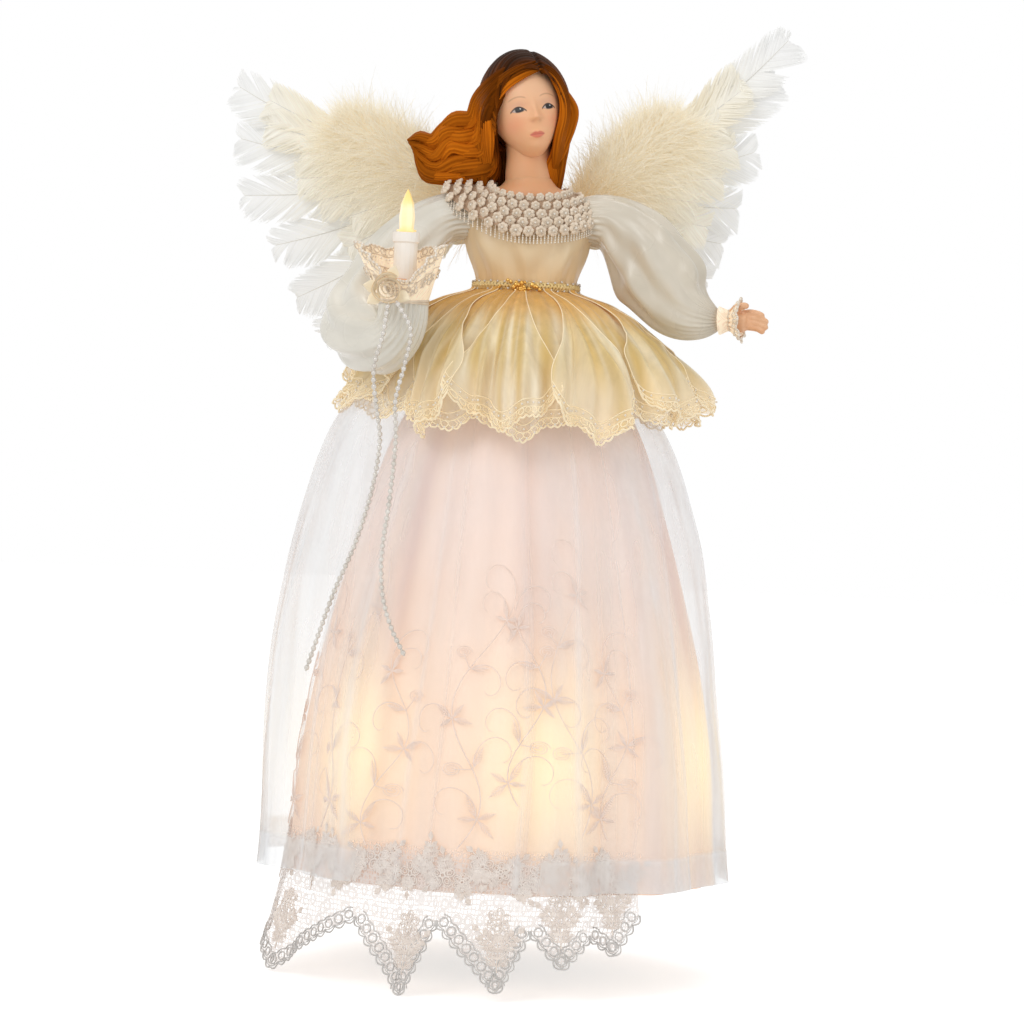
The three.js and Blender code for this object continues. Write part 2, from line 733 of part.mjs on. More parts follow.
// Hair: a cap open round the face, waves blown to the candle's side, and a fall on the other
function hair() {
  const cap = solid(headShape(HAIR_THICKNESS, 18, 10));
  const opening = new THREE.CylinderGeometry(1, 1, 4 * HEAD_HALF_DEPTH, 16);
  const height = HAIRLINE_RISE + HEAD_HALF_HEIGHT;
  opening.scale(HAIRLINE_HALF_WIDTH, 1, height / 1.6);
  opening.translate(0, -2 * HEAD_HALF_DEPTH, HAIRLINE_RISE - height / 1.6);
  const under = new THREE.BoxGeometry(6 * HEAD_HALF_WIDTH, 6 * HEAD_HALF_DEPTH, HEAD_HALF_HEIGHT);
  under.translate(0, 0, -1.1 * HEAD_HALF_HEIGHT);
  const shell = cap.subtract(solid(placedHead(opening))).subtract(solid(placedHead(under)));
  const overWaist = (points) => spline(points.map(([x, y, rise]) => [x, y, WAIST + rise]));
  const flow = overWaist(HAIR_FLOW);
  const flowHigh = profile([[0, 14], [0.35, 14.5], [0.7, 11], [1, 4]]);
  const flowThick = profile([[0, 9], [0.4, 6.5], [0.75, 5], [1, 2]]);
  const flowing = skin((u, v) => {
    const turn = 2 * Math.PI * u;
    const center = flow.getPointAt(v);
    const tangent = flow.getTangentAt(v);
    const ripple = 1 + 0.07 * Math.cos(5 * turn + 9 * v) + 0.07 * Math.sin(13 * v);
    const up = vector(-tangent.z, 0, tangent.x).multiplyScalar(tangent.x < 0 ? -1 : 1).normalize();
    center.addScaledVector(up, flowHigh(v) * ripple * Math.cos(turn));
    return center.add(vector(0, -flowThick(v) * ripple * Math.sin(turn), 0));
  }, 14, 8);
  const fall = overWaist(HAIR_FALL);
  const fallWide = profile([[0, 4], [0.4, 5], [0.75, 4], [1, 1.5]]);
  const falling = sweep(fall, 6, 8, fallWide);
  const clear = solid(headShape(CLEARANCE, 24, 17)).add(solid(neckShape(CLEARANCE, false)));
  return meshed(shell.add(solid(flowing)).add(solid(falling)).subtract(clear));
}

// Skirts: each layer is a radius by angle and height that clears the layer inside it

const standoff = profile(SKIRT_STANDOFF);
const hang = (z) => ease(1 - z / CONE_HEIGHT);
const fold = (angle) => 0.5 - 0.5 * Math.cos(SKIRT_FOLDS * angle);

function liningInner(angle, z) {
  return coneRadius(z) + standoff(z / CONE_HEIGHT) + LINING_FOLD_DEPTH * hang(z) * fold(angle);
}

const liningOuter = (angle, z) => liningInner(angle, z) + CLOTH;

const apronInner = (angle, z) => liningOuter(angle, z) + CLEARANCE;
const apronOuter = (angle, z) => apronInner(angle, z) + CLOTH;

// The angle between two directions round the figure, from nought to half a turn
const apart = (angle, degrees) => Math.acos(Math.cos(angle - rad(degrees)));
const leftBillow = profile(LEFT_BILLOW);
const rightBillow = profile(RIGHT_BILLOW);

function overskirtInner(angle, z) {
  const share = THREE.MathUtils.clamp(z / CONE_HEIGHT, 0, 1);
  const left = leftBillow(share) * bell(apart(angle, LEFT_BILLOW_AT), BILLOW_SPREAD);
  const right = rightBillow(share) * bell(apart(angle, RIGHT_BILLOW_AT), BILLOW_SPREAD);
  const folds = hang(z) * (OVERSKIRT_STANDOFF + OVERSKIRT_FOLD_DEPTH * fold(angle));
  return apronOuter(angle, z) + CLEARANCE + left + right + folds;
}

const overskirtOuter = (angle, z) => overskirtInner(angle, z) + CLOTH;

const columnAngle = (column) => (2 * Math.PI * column) / SKIRT_COLUMNS;

// A skirt layer between two radius functions, down the given rows and then to its own hem
function skirtLayer(inner, outer, firstColumn, columns, rows, hemAt) {
  const wrapped = columns === SKIRT_COLUMNS;
  const face = (radiusAt) => (u, v) => {
    const column = firstColumn + Math.round(u * columns);
    const angle = columnAngle(column);
    const row = Math.round(v * rows.length);
    const z = row < rows.length ? rows[row] : hemAt(column);
    return around(radiusAt(angle, z), angle, z);
  };
  return sheet(face(outer), face(inner), columns, rows.length, wrapped);
}

const ROWS_TO_HEM = SKIRT_ROWS.slice(0, -1);

function lining() {
  return skirtLayer(liningInner, liningOuter, 0, SKIRT_COLUMNS, ROWS_TO_HEM, () => -LINING_HEM_DROP);
}

// A layer's radius as the layer is built, straight between its rows
function betweenRows(radiusAt, angle, z) {
  const row = SKIRT_ROWS.findIndex((height) => height <= z);
  const [high, low] = [SKIRT_ROWS[row - 1], SKIRT_ROWS[row]];
  return THREE.MathUtils.mapLinear(z, low, high, radiusAt(angle, low), radiusAt(angle, high));
}

function apron() {
  const first = APRON_HEM[0][0];
  const columns = APRON_HEM.at(-1)[0] - first;
  const hemAt = (column) => {
    const after = Math.max(APRON_HEM.findIndex(([place]) => place >= column), 1);
    const [start, end] = [APRON_HEM[after - 1], APRON_HEM[after]];
    return -THREE.MathUtils.mapLinear(column, start[0], end[0], start[1], end[1]);
  };
  return skirtLayer(apronInner, apronOuter, first, columns, SKIRT_ROWS, hemAt);
}

function overskirt() {
  const hemAt = () => -OVERSKIRT_HEM_DROP;
  return skirtLayer(overskirtInner, overskirtOuter, 0, SKIRT_COLUMNS, ROWS_TO_HEM, hemAt);
}

const peplumStandoff = profile(PEPLUM_STANDOFF);

function bodiceRadius(angle, rise) {
  const grow = CLEARANCE + CLOTH;
  const x = Math.sin(angle) / (torsoWidth(rise) + grow);
  const y = Math.cos(angle) / (torsoDepth(rise) + grow);
  return 1 / Math.hypot(x, y);
}

function peplumInner(angle, rise) {
  const z = WAIST + rise;
  const under = z > SKIRT_ROWS[0] ? 0 : betweenRows(overskirtOuter, angle, z) + 2 * CLEARANCE;
  const loose = ease(rise / PEPLUM_FRONT_HEM);
  const dent = PEPLUM_DENT * bell(apart(angle, PEPLUM_DENT_AT), PEPLUM_DENT_SPREAD);
  const folds = PEPLUM_FOLD_DEPTH * (0.5 + 0.5 * Math.cos(SKIRT_FOLDS * angle));
  const own = bodiceRadius(angle, Math.max(rise, 0)) + peplumStandoff(rise) + loose * (folds - dent);
  return Math.max(under, own);
}

function peplum() {
  const rows = PEPLUM_ROWS.length;
  const face = (thick) => (u, v) => {
    const angle = columnAngle(Math.round(u * SKIRT_COLUMNS));
    const row = Math.round(v * rows);
    const length = THREE.MathUtils.lerp(PEPLUM_SIDE_HEM, PEPLUM_FRONT_HEM, Math.cos(angle) ** 2);
    const hem = length - PEPLUM_POINT_DEPTH * Math.cos(SKIRT_FOLDS * angle);
    const rise = row < rows ? PEPLUM_ROWS[row] : hem;
    return around(peplumInner(angle, rise) + thick, angle, WAIST + rise);
  };
  return sheet(face(CLOTH), face(0), SKIRT_COLUMNS, rows, true);
}

function waistBraid() {
  const bottom = PEPLUM_ROWS[0] + CLEARANCE;
  const columns = 2 * BRAID_KNOBS;
  const face = (outward) => (u, v) => {
    const angle = 2 * Math.PI * u;
    const rise = bottom + BRAID_HEIGHT * (1 - v);
    const knob = 0.7 + 0.3 * Math.cos(BRAID_KNOBS * angle);
    const round = 0.45 + 0.55 * Math.sin(Math.PI * v);
    const radius = bodiceRadius(angle, rise) + CLEARANCE + outward * BRAID_THICKNESS * knob * round;
    return around(radius, angle, WAIST + rise);
  };
  return sheet(face(1), face(0), columns, 2, true);
}

// The collar lies on the bodice, deepest in front, with a floret at each scallop
function collar() {
  const columns = 2 * COLLAR_FLORETS;
  const face = (thick) => (u, v) => {
    const angle = 2 * Math.PI * u;
    const front = Math.max(Math.cos(angle), 0);
    const scallop = 0.5 + 0.5 * Math.cos(COLLAR_FLORETS * angle);
    const reach = Math.max(-Math.sin(angle), 0) ** 3;
    const fall = COLLAR_SIDE_DROP + (COLLAR_FRONT_DROP - COLLAR_SIDE_DROP) * front + 2 * scallop;
    const rise = COLLAR_TOP - fall * v * (1 - reach);
    const petal = 0.8 * scallop * Math.sin(Math.PI * v);
    const grow = 3 * CLEARANCE + CLOTH + thick * (1 + petal) + COLLAR_FLARE * front * v * v;
    const spread = vector(-COLLAR_CANDLE_REACH * reach * v, 0, thick * reach);
    return torsoPoint(angle, rise, grow).add(spread);
  };
  return sheet(face(CLOTH), face(0), columns, 3, true);
}

// Arms, in the frame of the shoulder pivot; side is -1 for the candle arm and 1 for the open arm

const armCurve = (points, side) => spline(points.map(([out, forward, up]) => [side * out, -forward, up]));

function sleeve(points, radii, side) {
  const line = points.map((point) => point.slice());
  line[0][0] = CLEARANCE;
  const ring = alongCurve(armCurve(line, side), SLEEVE_ROWS);
  const radiusAt = profile(radii);
  const face = (inset) => (u, v) => {
    const gather = 0.07 * Math.sin(Math.PI * v) * Math.cos(2 * Math.PI * SLEEVE_GATHERS * u);
    const radius = radiusAt(v) * (1 + gather) - inset;
    return ring(u, v, radius, radius);
  };
  return sheet(face(0), face(CLOTH), SLEEVE_COLUMNS, SLEEVE_ROWS, true);
}

function armWire(points, side) {
  const inside = [-ARM_WIRE_GRIP, 0, 0];
  return wire(armCurve([inside, ...points], side), ARM_WIRE_RADIUS, 14, 5);
}

// Places a geometry made along +Z at the end of an arm's line, pointing the way the arm points
function atArmEnd(geometry, points, side) {
  const curve = armCurve(points, side);
  const turn = new THREE.Quaternion().setFromUnitVectors(vector(0, 0, 1), curve.getTangentAt(1));
  const end = curve.getPointAt(1);
  return geometry.applyQuaternion(turn).translate(end.x, end.y, end.z);
}

// The open cuff narrows from the sleeve's end to the wrist and flares over the hand
function openCuff() {
  const start = OPEN_SLEEVE.at(-1)[1] - CLOTH;
  const grip = WRIST_RADIUS + CLEARANCE;
  const columns = 3 * CUFF_SCALLOPS;
  const face = (thick) => (u, v) => {
    const angle = 2 * Math.PI * u;
    const scallop = 0.5 + 0.5 * Math.cos(CUFF_SCALLOPS * angle);
    const length = CUFF_LENGTH + 1.5 * scallop;
    const flare = CUFF_FLARE * (1 + 0.5 * scallop) * Math.max(1 - 2 * v, 0);
    const gather = (start - grip) * Math.max(2 * v - 1, 0);
    return around(grip + flare + gather + thick, angle, CLEARANCE + length * (1 - v));
  };
  return atArmEnd(sheet(face(CLOTH), face(0), columns, 2, true), OPEN_ARM, 1);
}

const finger = (points, radius) => sweep(spline(points), 3, 5, (v) => radius * (1 - 0.3 * v * v));

// The open hand: a wrist, a palm, four fingers a little apart and a thumb, pointing along +Z
function openHand() {
  const palm = new THREE.SphereGeometry(1, 8, 6).scale(PALM_HALF_WIDTH, PALM_HALF_THICKNESS, 0.65 * PALM_LENGTH);
  palm.translate(0, 0, 0.55 * PALM_LENGTH);
  const wrist = turned(
    [[0, -6], [WRIST_RADIUS, -6], [0.85 * WRIST_RADIUS, 0], [0.8 * WRIST_RADIUS, 3], [0, 3]],
    8,
  );
  const fingers = [-1.5, -0.5, 0.5, 1.5].map((place, i) => {
    const length = FINGER_LENGTH * [0.85, 1, 0.97, 0.78][i];
    const x = place * 0.56 * PALM_HALF_WIDTH;
    const base = 0.8 * PALM_LENGTH;
    return finger([
      [x, 0, base],
      [1.15 * x, 0.8, base + 0.55 * length],
      [1.25 * x, 0.2 - 0.6 * i, base + length],
    ], FINGER_RADIUS);
  });
  const thumb = finger([[1.8, 0.3, 4], [4.2, 1.6, 7], [4.8, 2.4, 10]], 1.15 * FINGER_RADIUS);
  const hand = joined(palm, wrist, ...fingers, thumb).rotateZ(rad(100)).translate(0, 0, CUFF_LENGTH / 3);
  const wireHole = rod(ARM_WIRE_RADIUS + 2 * CLEARANCE, -CUFF_LENGTH, CLEARANCE, 6);
  return atArmEnd(cut(hand, wireHole), OPEN_ARM, 1);
}

// The candle stands at the end of its arm, upright, held above its foot
function candlePlace() {
  return armCurve(CANDLE_ARM, -1).getPointAt(1).add(vector(0, -CANDLE_AHEAD, CANDLE_LIFT));
}

function candleBody() {
  const top = CANDLE_LENGTH - CANDLE_BELOW_HAND;
  const floor = top - LAMP_BASE_LENGTH - CLEARANCE;
  const tube = turned(
    [
      [0, -CANDLE_BELOW_HAND],
      [CANDLE_RADIUS, -CANDLE_BELOW_HAND],
      [CANDLE_RADIUS, top - CANDLE_COLLAR_HEIGHT],
      [CANDLE_COLLAR_RADIUS, top - CANDLE_COLLAR_HEIGHT + 0.6],
      [CANDLE_COLLAR_RADIUS, top],
      [SOCKET_BORE, top],
      [SOCKET_BORE, floor],
      [0, floor],
    ],
    16,
  );
  const place = candlePlace();
  return tube.translate(place.x, place.y, place.z);
}

function candleLampPlace() {
  return candlePlace().add(vector(0, 0, CANDLE_LENGTH - CANDLE_BELOW_HAND));
}

// The candle hand: a palm behind the candle and four fingers and a thumb round it
function candleHand() {
  const grip = CANDLE_RADIUS + CLEARANCE + 0.8 * FINGER_RADIUS;
  const palm = new THREE.SphereGeometry(1, 8, 6).scale(4.2, 3, 4.8).translate(-1.5, grip + 0.6, 0);
  const curl = (z, from, to) => {
    const points = Array.from({ length: 7 }, (_, i) => {
      const angle = rad(from + ((to - from) * i) / 6);
      return around(grip, angle, z).toArray();
    });
    return finger(points, FINGER_RADIUS);
  };
  const fingers = [-1.5, -0.5, 0.5, 1.5].map((place) => curl(place * 1.75 * FINGER_RADIUS, -170, -8 + 12 * place));
  const thumb = curl(2.2, 165, 45);
  const place = candlePlace();
  const armEnd = vector(0, CANDLE_AHEAD, -CANDLE_LIFT);
  const wristFoot = armEnd.clone().add(vector(0, 0, -WRIST_RADIUS));
  const wrist = rodBetween(WRIST_RADIUS, wristFoot, vector(-1, grip, -2), 8);
  const shape = joined(palm, ...fingers, thumb, wrist);
  const bore = rod(CANDLE_RADIUS + CLEARANCE, -20, 20, 12);
  const wireHole = rod(ARM_WIRE_RADIUS + 2 * CLEARANCE, -2 * WRIST_RADIUS, CLEARANCE, 6);
  wireHole.translate(armEnd.x, armEnd.y, armEnd.z);
  return cut(shape, bore, wireHole).translate(place.x, place.y, place.z);
}

// The candle's cuff opens upwards round the hand, and dips in front so that the candle shows
function candleCuff() {
  const place = candlePlace();
  const low = armCurve(CANDLE_ARM, -1).getPointAt(1).z + CLEARANCE;
  const start = CANDLE_SLEEVE.at(-1)[1];
  const columns = 3 * CUFF_SCALLOPS;
  const face = (thick) => (u, v) => {
    const angle = 2 * Math.PI * u;
    const scallop = 0.5 + 0.5 * Math.cos(CUFF_SCALLOPS * angle);
    const dip = CANDLE_CUFF_DIP * Math.max(Math.cos(angle), 0) ** 2;
    const height = (CANDLE_CUFF_HEIGHT - dip + 1.5 * scallop) * (1 - v);
    const open = 1 - v;
    const flare = (CANDLE_CUFF_RADIUS - start) * (0.85 + 0.15 * scallop);
    const radius = start + flare * open * (1 - CANDLE_CUFF_TUCK * Math.max(Math.cos(angle), 0)) + thick;
    const center = vector(place.x - 2 * open, place.y + CANDLE_AHEAD * (1 - open), low);
    return around(radius, angle, height).add(center);
  };
  return sheet(face(CLOTH), face(0), columns, 3, true);
}

function candleLead() {
  const start = vector(0, -LEAD_CHANNEL.y, 0);
  const down = SHOULDER_RISE - LEAD_RISE;
  const line = CANDLE_ARM.map(([out, forward, up]) => [out, forward, up]);
  const beside = line.slice(2, -1).map(([out, forward, up], i) => [out - 3, forward + 0.7 * i, up - 3.5]);
  const place = candlePlace();
  const foot = [-place.x, -place.y, place.z - CANDLE_BELOW_HAND - CLEARANCE];
  const entry = [[CLEARANCE, start.y, -down], [line[1][0], start.y + 1.5, -down]];
  const route = [...entry, ...beside, [foot[0], foot[1], foot[2] - 6], foot];
  return wire(armCurve(route, -1), LAMP_WIRE_RADIUS, 20, 5);
}

// The lead's other length, from the cone's top up through the torso to the shoulder
function leadRiser() {
  const shoulder = pivot(-1);
  const top = WAIST + LEAD_RISE;
  const points = [
    [LEAD_CHANNEL.x, LEAD_CHANNEL.y, LEAD_FOOT],
    [LEAD_CHANNEL.x, LEAD_CHANNEL.y, top - 5],
    [LEAD_CHANNEL.x - 0.2, LEAD_CHANNEL.y, top - 2],
    [LEAD_CHANNEL.x - 2, LEAD_CHANNEL.y, top - 0.2],
    [LEAD_CHANNEL.x - 5, LEAD_CHANNEL.y, top],
    [shoulder.x + CLEARANCE, LEAD_CHANNEL.y, top],
  ];
  return wire(spline(points), LAMP_WIRE_RADIUS, 20, 5);
}

function ribbonRose() {
  const radius = (u) => 1 + (ROSE_RADIUS - 1) * u;
  const face = (offset) => (u, v) => {
    const angle = -2 * Math.PI * ROSE_TURNS * u;
    const lean = 1 + 0.25 * v * u;
    return around(radius(u) * lean + offset, -angle, ROSE_HEIGHT * (0.5 - v) * (1 - 0.25 * u));
  };
  const petals = sheet(face(ROSE_RIBBON / 2), face(-ROSE_RIBBON / 2), 32, 1, false);
  return petals.rotateX(rad(100));
}

// The rose sits in front of the cuff
function rosePlace() {
  const cuffFront = (CANDLE_CUFF_RADIUS + CANDLE_SLEEVE.at(-1)[1]) / 2 + CLOTH;
  return candlePlace().add(vector(-5.5, CLEARANCE - cuffFront - ROSE_HEIGHT / 2, -0.5));
}

function pearlStrand(points) {
  const curve = spline(points.map((p) => vector(...p).add(rosePlace()).toArray()));
  const beads = Math.round(curve.getLength() / PEARL_PITCH);
  const steps = 2 * beads;
  const radiusAt = (v) => (Math.round(v * steps) % 2 ? PEARL_RADIUS : PEARL_THREAD_RADIUS);
  return sweep(curve, steps, 5, radiusAt);
}

// Wings, in the frame of each wing's hinge: out along +X before mirroring, back along +Y

const featherDepth = (i) => CLEARANCE + i * (FEATHER_THICKNESS + CLEARANCE);
const wingDepth = (count) => featherDepth(count);

function feather(root, tip, depth) {
  const reach = tip.clone().sub(root);
  const length = reach.length();
  const across = vector(-reach.z, 0, reach.x).normalize();
  const half = profile([[0, 0.1], [0.12, 0.35], [0.45, 0.95], [0.75, 0.9], [0.93, 0.5], [1, 0.06]]);
  const face = (back) => (u, v) => {
    const along = 1 - v;
    const side = 2 * u - 1;
    const point = root.clone().addScaledVector(reach, along);
    point.addScaledVector(across, side * FEATHER_HALF_WIDTH * half(along));
    point.addScaledVector(across, -FEATHER_BOW * Math.sin(Math.PI * along) * (length / 100));
    const ridge = 1 - 0.35 * Math.abs(side);
    point.y = depth + FEATHER_THICKNESS * (back ? 0.5 + 0.5 * ridge : 0.5 - 0.5 * ridge);
    return point;
  };
  return sheet(face(true), face(false), 2, 6, false);
}

// Feather roots follow the wing's arm line, from its far end inwards
function featherRoot(arm, i, count) {
  const share = 0.72 - (0.6 * i) / (count - 1);
  const point = spline(arm.map(([out, up]) => [out, 0, up])).getPointAt(share);
  return point.add(vector(0, 0, -2));
}

function wingCard(arm, count) {
  const line = spline(arm.map(([out, up]) => [out, 0, up]));
  const outline = new THREE.Shape();
  const low = line.getPointAt(0);
  const mid = line.getPointAt(0.5);
  const far = line.getPointAt(0.95);
  outline.moveTo(low.x - 2, low.z - 6);
  outline.quadraticCurveTo(mid.x - 12, mid.z + 6, far.x - 4, far.z + 2);
  outline.quadraticCurveTo(far.x + 8, far.z - 10, mid.x + 10, mid.z - 22);
  outline.quadraticCurveTo(low.x + 16, low.z - 16, low.x - 2, low.z - 6);
  const depth = WING_CARD_THICKNESS;
  const card = new THREE.ExtrudeGeometry(outline, { depth, bevelEnabled: false, curveSegments: 5 });
  card.rotateX(Math.PI / 2).translate(0, wingDepth(count) + depth, 0);
  return indexed(Array.from(card.attributes.position.array), [...Array(card.attributes.position.count).keys()]);
}

function wingDown(arm) {
  const line = spline(arm.map(([out, up]) => [out, 0, up]));
  const swell = profile([[0, 0.35], [0.3, 0.85], [0.65, 1], [0.9, 0.7], [1, 0.3]]);
  return skin((u, v) => {
    const turn = 2 * Math.PI * u;
    const tuft = 1 + 0.1 * Math.cos(4 * turn + 11 * v) * Math.sin(Math.PI * v);
    const size = swell(v) * tuft;
    const center = line.getPointAt(v);
    const tangent = line.getTangentAt(v);
    const up = vector(-tangent.z, 0, tangent.x);
    center.addScaledVector(up, DOWN_HALF_HEIGHT * size * Math.cos(turn));
    center.y = -DOWN_HALF_DEPTH + DOWN_HALF_DEPTH * Math.min(size, 1) * Math.sin(turn);
    return center;
  }, 14, 8);
}

function wingWire(arm, count) {
  const behind = wingDepth(count) + WING_CARD_THICKNESS + CLEARANCE + WING_WIRE_RADIUS;
  const route = [[0, CLEARANCE, 0], [1, 0.6 * behind, 0], [4, behind, 2]];
  const line = arm.slice(0, -1).map(([out, up]) => [out, behind, up]);
  return wire(spline([...route, ...line]), WING_WIRE_RADIUS, 12, 5);
}

function wingStem(side) {
  const hinge = wingHinge(side);
  const start = hinge.clone().add(vector(0, -WING_STEM_GRIP, 0));
  return rodBetween(WING_WIRE_RADIUS, start, hinge, 8);
}

function wing(name, side, tips, arm) {
  const group = new THREE.Group();
  group.name = `${name}_wing`;
  group.position.copy(wingHinge(side));
  group.rotation.z = side * rad(WING_SWEEP);
  const stretch = 1 / Math.cos(rad(WING_SWEEP));
  const onSide = (geometry) => (side < 0 ? mirrored(geometry) : geometry);
  tips.forEach(([out, up], i) => {
    const root = featherRoot(arm, i, tips.length);
    const shape = feather(root, vector(out * stretch, 0, up), featherDepth(i));
    group.add(part(`${name}_feather_${i + 1}`, onSide(shape), "feather"));
  });
  group.add(part(`${name}_wing_card`, onSide(mergeVertices(wingCard(arm, tips.length))), "card"));
  group.add(part(`${name}_wing_down`, onSide(wingDown(arm)), "down"));
  const bend = mergeVertices(bare(wingWire(arm, tips.length)));
  group.add(part(`${name}_wing_wire`, onSide(bend), "steel"));
  return group;
}

function bare(geometry) {
  const copy = geometry.clone();
  copy.deleteAttribute("normal");
  copy.deleteAttribute("uv");
  return copy;
}

// Assembly

const angel = new THREE.Group();
angel.name = "angel_tree_topper";

angel.add(part("cone_body", coneBody(), "plastic"));
LAMP_SEATS.forEach((seat, i) => {
  const mouth = CLEARANCE + SOCKET_FLANGE_THICKNESS;
  angel.add(seated(part(`lamp_socket_${i + 1}`, socketBody(), "plastic"), seat, 0));
  angel.add(seated(part(`lamp_${i + 1}`, lampBody(), "lamp_glass"), seat, mouth));
});
angel.add(part("lamp_wire", lampWire(), "wire"));
angel.add(part("torso_form", torsoForm(), "foam"));
angel.add(part("lead_riser", leadRiser(), "wire"));
angel.add(part("bodice", bodice(), "satin"));
angel.add(part("bust", bust(), "resin"));
angel.add(part("hair", hair(), "hair"));
angel.add(part("collar", collar(), "lace"));
angel.add(part("waist_braid", waistBraid(), "gold"));
angel.add(part("peplum", peplum(), "cream_organza"));
angel.add(part("lining", lining(), "lining"));
angel.add(part("apron", apron(), "lace"));
angel.add(part("overskirt", overskirt(), "organza"));
angel.add(part("left_wing_stem", wingStem(-1), "steel"));
angel.add(part("right_wing_stem", wingStem(1), "steel"));

const openArm = new THREE.Group();
openArm.name = "open_arm";
openArm.position.copy(pivot(1));
openArm.add(part("open_arm_wire", armWire(OPEN_ARM, 1), "steel"));
openArm.add(part("open_sleeve", sleeve(OPEN_ARM, OPEN_SLEEVE, 1), "silver_satin"));
openArm.add(part("open_cuff", openCuff(), "lace"));
openArm.add(part("open_hand", openHand(), "resin"));
angel.add(openArm);

const candleArm = new THREE.Group();
candleArm.name = "candle_arm";
candleArm.position.copy(pivot(-1));
candleArm.add(part("candle_arm_wire", armWire(CANDLE_ARM, -1), "steel"));
candleArm.add(part("candle_sleeve", sleeve(CANDLE_ARM, CANDLE_SLEEVE, -1), "silver_satin"));
candleArm.add(part("candle_cuff", candleCuff(), "lace"));
candleArm.add(part("candle_hand", candleHand(), "resin"));
candleArm.add(part("candle_tube", candleBody(), "plastic"));
candleArm.add(part("candle_lead", candleLead(), "wire"));
const candleLamp = part("candle_lamp", lampBody(), "lamp_glass");
candleLamp.position.copy(candleLampPlace());
candleArm.add(candleLamp);
const rose = part("ribbon_rose", ribbonRose(), "ribbon");
rose.position.copy(rosePlace());
candleArm.add(rose);
candleArm.add(part("outer_pearl_strand", pearlStrand(OUTER_STRAND), "pearl"));
candleArm.add(part("inner_pearl_strand", pearlStrand(INNER_STRAND), "pearl"));
angel.add(candleArm);

angel.add(wing("left", -1, LEFT_TIPS, LEFT_ARM));
angel.add(wing("right", 1, RIGHT_TIPS, RIGHT_ARM));

export default angel;
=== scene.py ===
"""The looks of the lit angel tree topper, piece by piece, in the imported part's own frame."""
import math

import bpy
import numpy as np
from mathutils import Matrix, Vector


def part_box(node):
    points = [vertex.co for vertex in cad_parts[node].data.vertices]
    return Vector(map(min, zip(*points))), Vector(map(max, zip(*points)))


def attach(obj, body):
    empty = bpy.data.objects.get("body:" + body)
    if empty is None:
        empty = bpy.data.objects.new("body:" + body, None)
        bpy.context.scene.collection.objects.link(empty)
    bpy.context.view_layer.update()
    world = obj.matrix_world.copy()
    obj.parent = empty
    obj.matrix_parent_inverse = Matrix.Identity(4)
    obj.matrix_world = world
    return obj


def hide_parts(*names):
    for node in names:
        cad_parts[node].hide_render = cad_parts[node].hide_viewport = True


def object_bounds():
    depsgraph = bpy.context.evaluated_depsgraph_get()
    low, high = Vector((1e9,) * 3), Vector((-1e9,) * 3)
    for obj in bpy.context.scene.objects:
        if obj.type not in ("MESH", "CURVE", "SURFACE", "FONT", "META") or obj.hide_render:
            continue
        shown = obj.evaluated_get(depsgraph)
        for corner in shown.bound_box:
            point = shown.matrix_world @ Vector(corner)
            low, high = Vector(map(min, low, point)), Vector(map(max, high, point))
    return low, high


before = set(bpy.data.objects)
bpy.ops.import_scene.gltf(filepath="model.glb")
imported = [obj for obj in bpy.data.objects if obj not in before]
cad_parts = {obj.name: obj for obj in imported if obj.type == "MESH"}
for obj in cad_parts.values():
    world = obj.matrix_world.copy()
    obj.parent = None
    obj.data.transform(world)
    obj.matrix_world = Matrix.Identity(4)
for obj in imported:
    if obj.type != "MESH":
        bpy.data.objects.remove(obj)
CAD_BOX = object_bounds()
chance = np.random.default_rng(7)

MM = 0.001
TURN = 2 * math.pi
CIRCLE = np.linspace(0, TURN, 12)

# Sizes of the part in millimetres and degrees
CONE_HEIGHT = 208
WAIST = 208.35
SHOULDER = np.array([24.65, 0, 245.35])
TORSO_WIDTH = [[0, 17.5], [13, 18], [26, 22], [37, 23.5], [44, 19.5], [48.5, 11.5]]
TORSO_DEPTH = [[0, 14.5], [13, 14.5], [26, 16.5], [37, 14], [44, 12], [48.5, 10.5]]
CLOTH = 0.8
CLEARANCE = 0.35
LAYER = CLOTH + CLEARANCE
CONE_RADIUS = 62
CONE_TAPER = 49
LAMPS = 6
LAMP_TURN = 12
LAMP_HEIGHT = 44
SKIRT_STANDOFF = [
    [-0.2, 16.5], [0, 16.5], [0.21, 23.5], [0.36, 26], [0.5, 26], [0.65, 25], [0.78, 22.5], [0.9, 14],
    [1, 0.35],
]
SKIRT_FOLDS = 12
SKIRT_TOP = 207.3
LINING_HEM = -2
LINING_FOLD = 3.5
OVERSKIRT_HEM = -1
APRON_EDGES = [-90, 37.5]
APRON_RADIUS = 84
HEM_COLUMNS = 48
APRON_HEM = [
    [-12, 18], [-9, 38], [-5, 14], [-3, 39], [-2, 12], [0, 36], [1, 14], [2, 27], [3, 16], [4, 23], [5, 9]
]
LEFT_BILLOW = [[0, 8], [0.19, 11.5], [0.54, 21], [0.79, 23.5], [0.86, 21.5], [0.91, 17], [0.96, 7], [1, 0]]
RIGHT_BILLOW = [[0, 0], [0.3, 0], [0.48, 5], [0.61, 8.5], [0.8, 7.5], [0.9, 4], [1, 0]]
PEPLUM_TOP = 9.5
PEPLUM_STANDOFF = [
    [-60, 39], [-34, 39], [-25, 37.5], [-12, 31.5], [-3, 24], [2, 18.5], [6, 11], [8.5, 3], [9.5, 0.35]
]
PEPLUM_TAILS = [
    [-6, 18, 42], [27, 16, 45], [64, 20, 37], [-38, 16, 45], [-76, 17, 35],
    [103, 19, 38], [142, 20, 40], [180, 20, 42], [-142, 20, 40], [-108, 18, 37],
]
HEAD = np.array([-3.6, -3, WAIST + 79])
HEAD_SIZE = np.array([14, 16.5, 20])
HEAD_YAW = 12
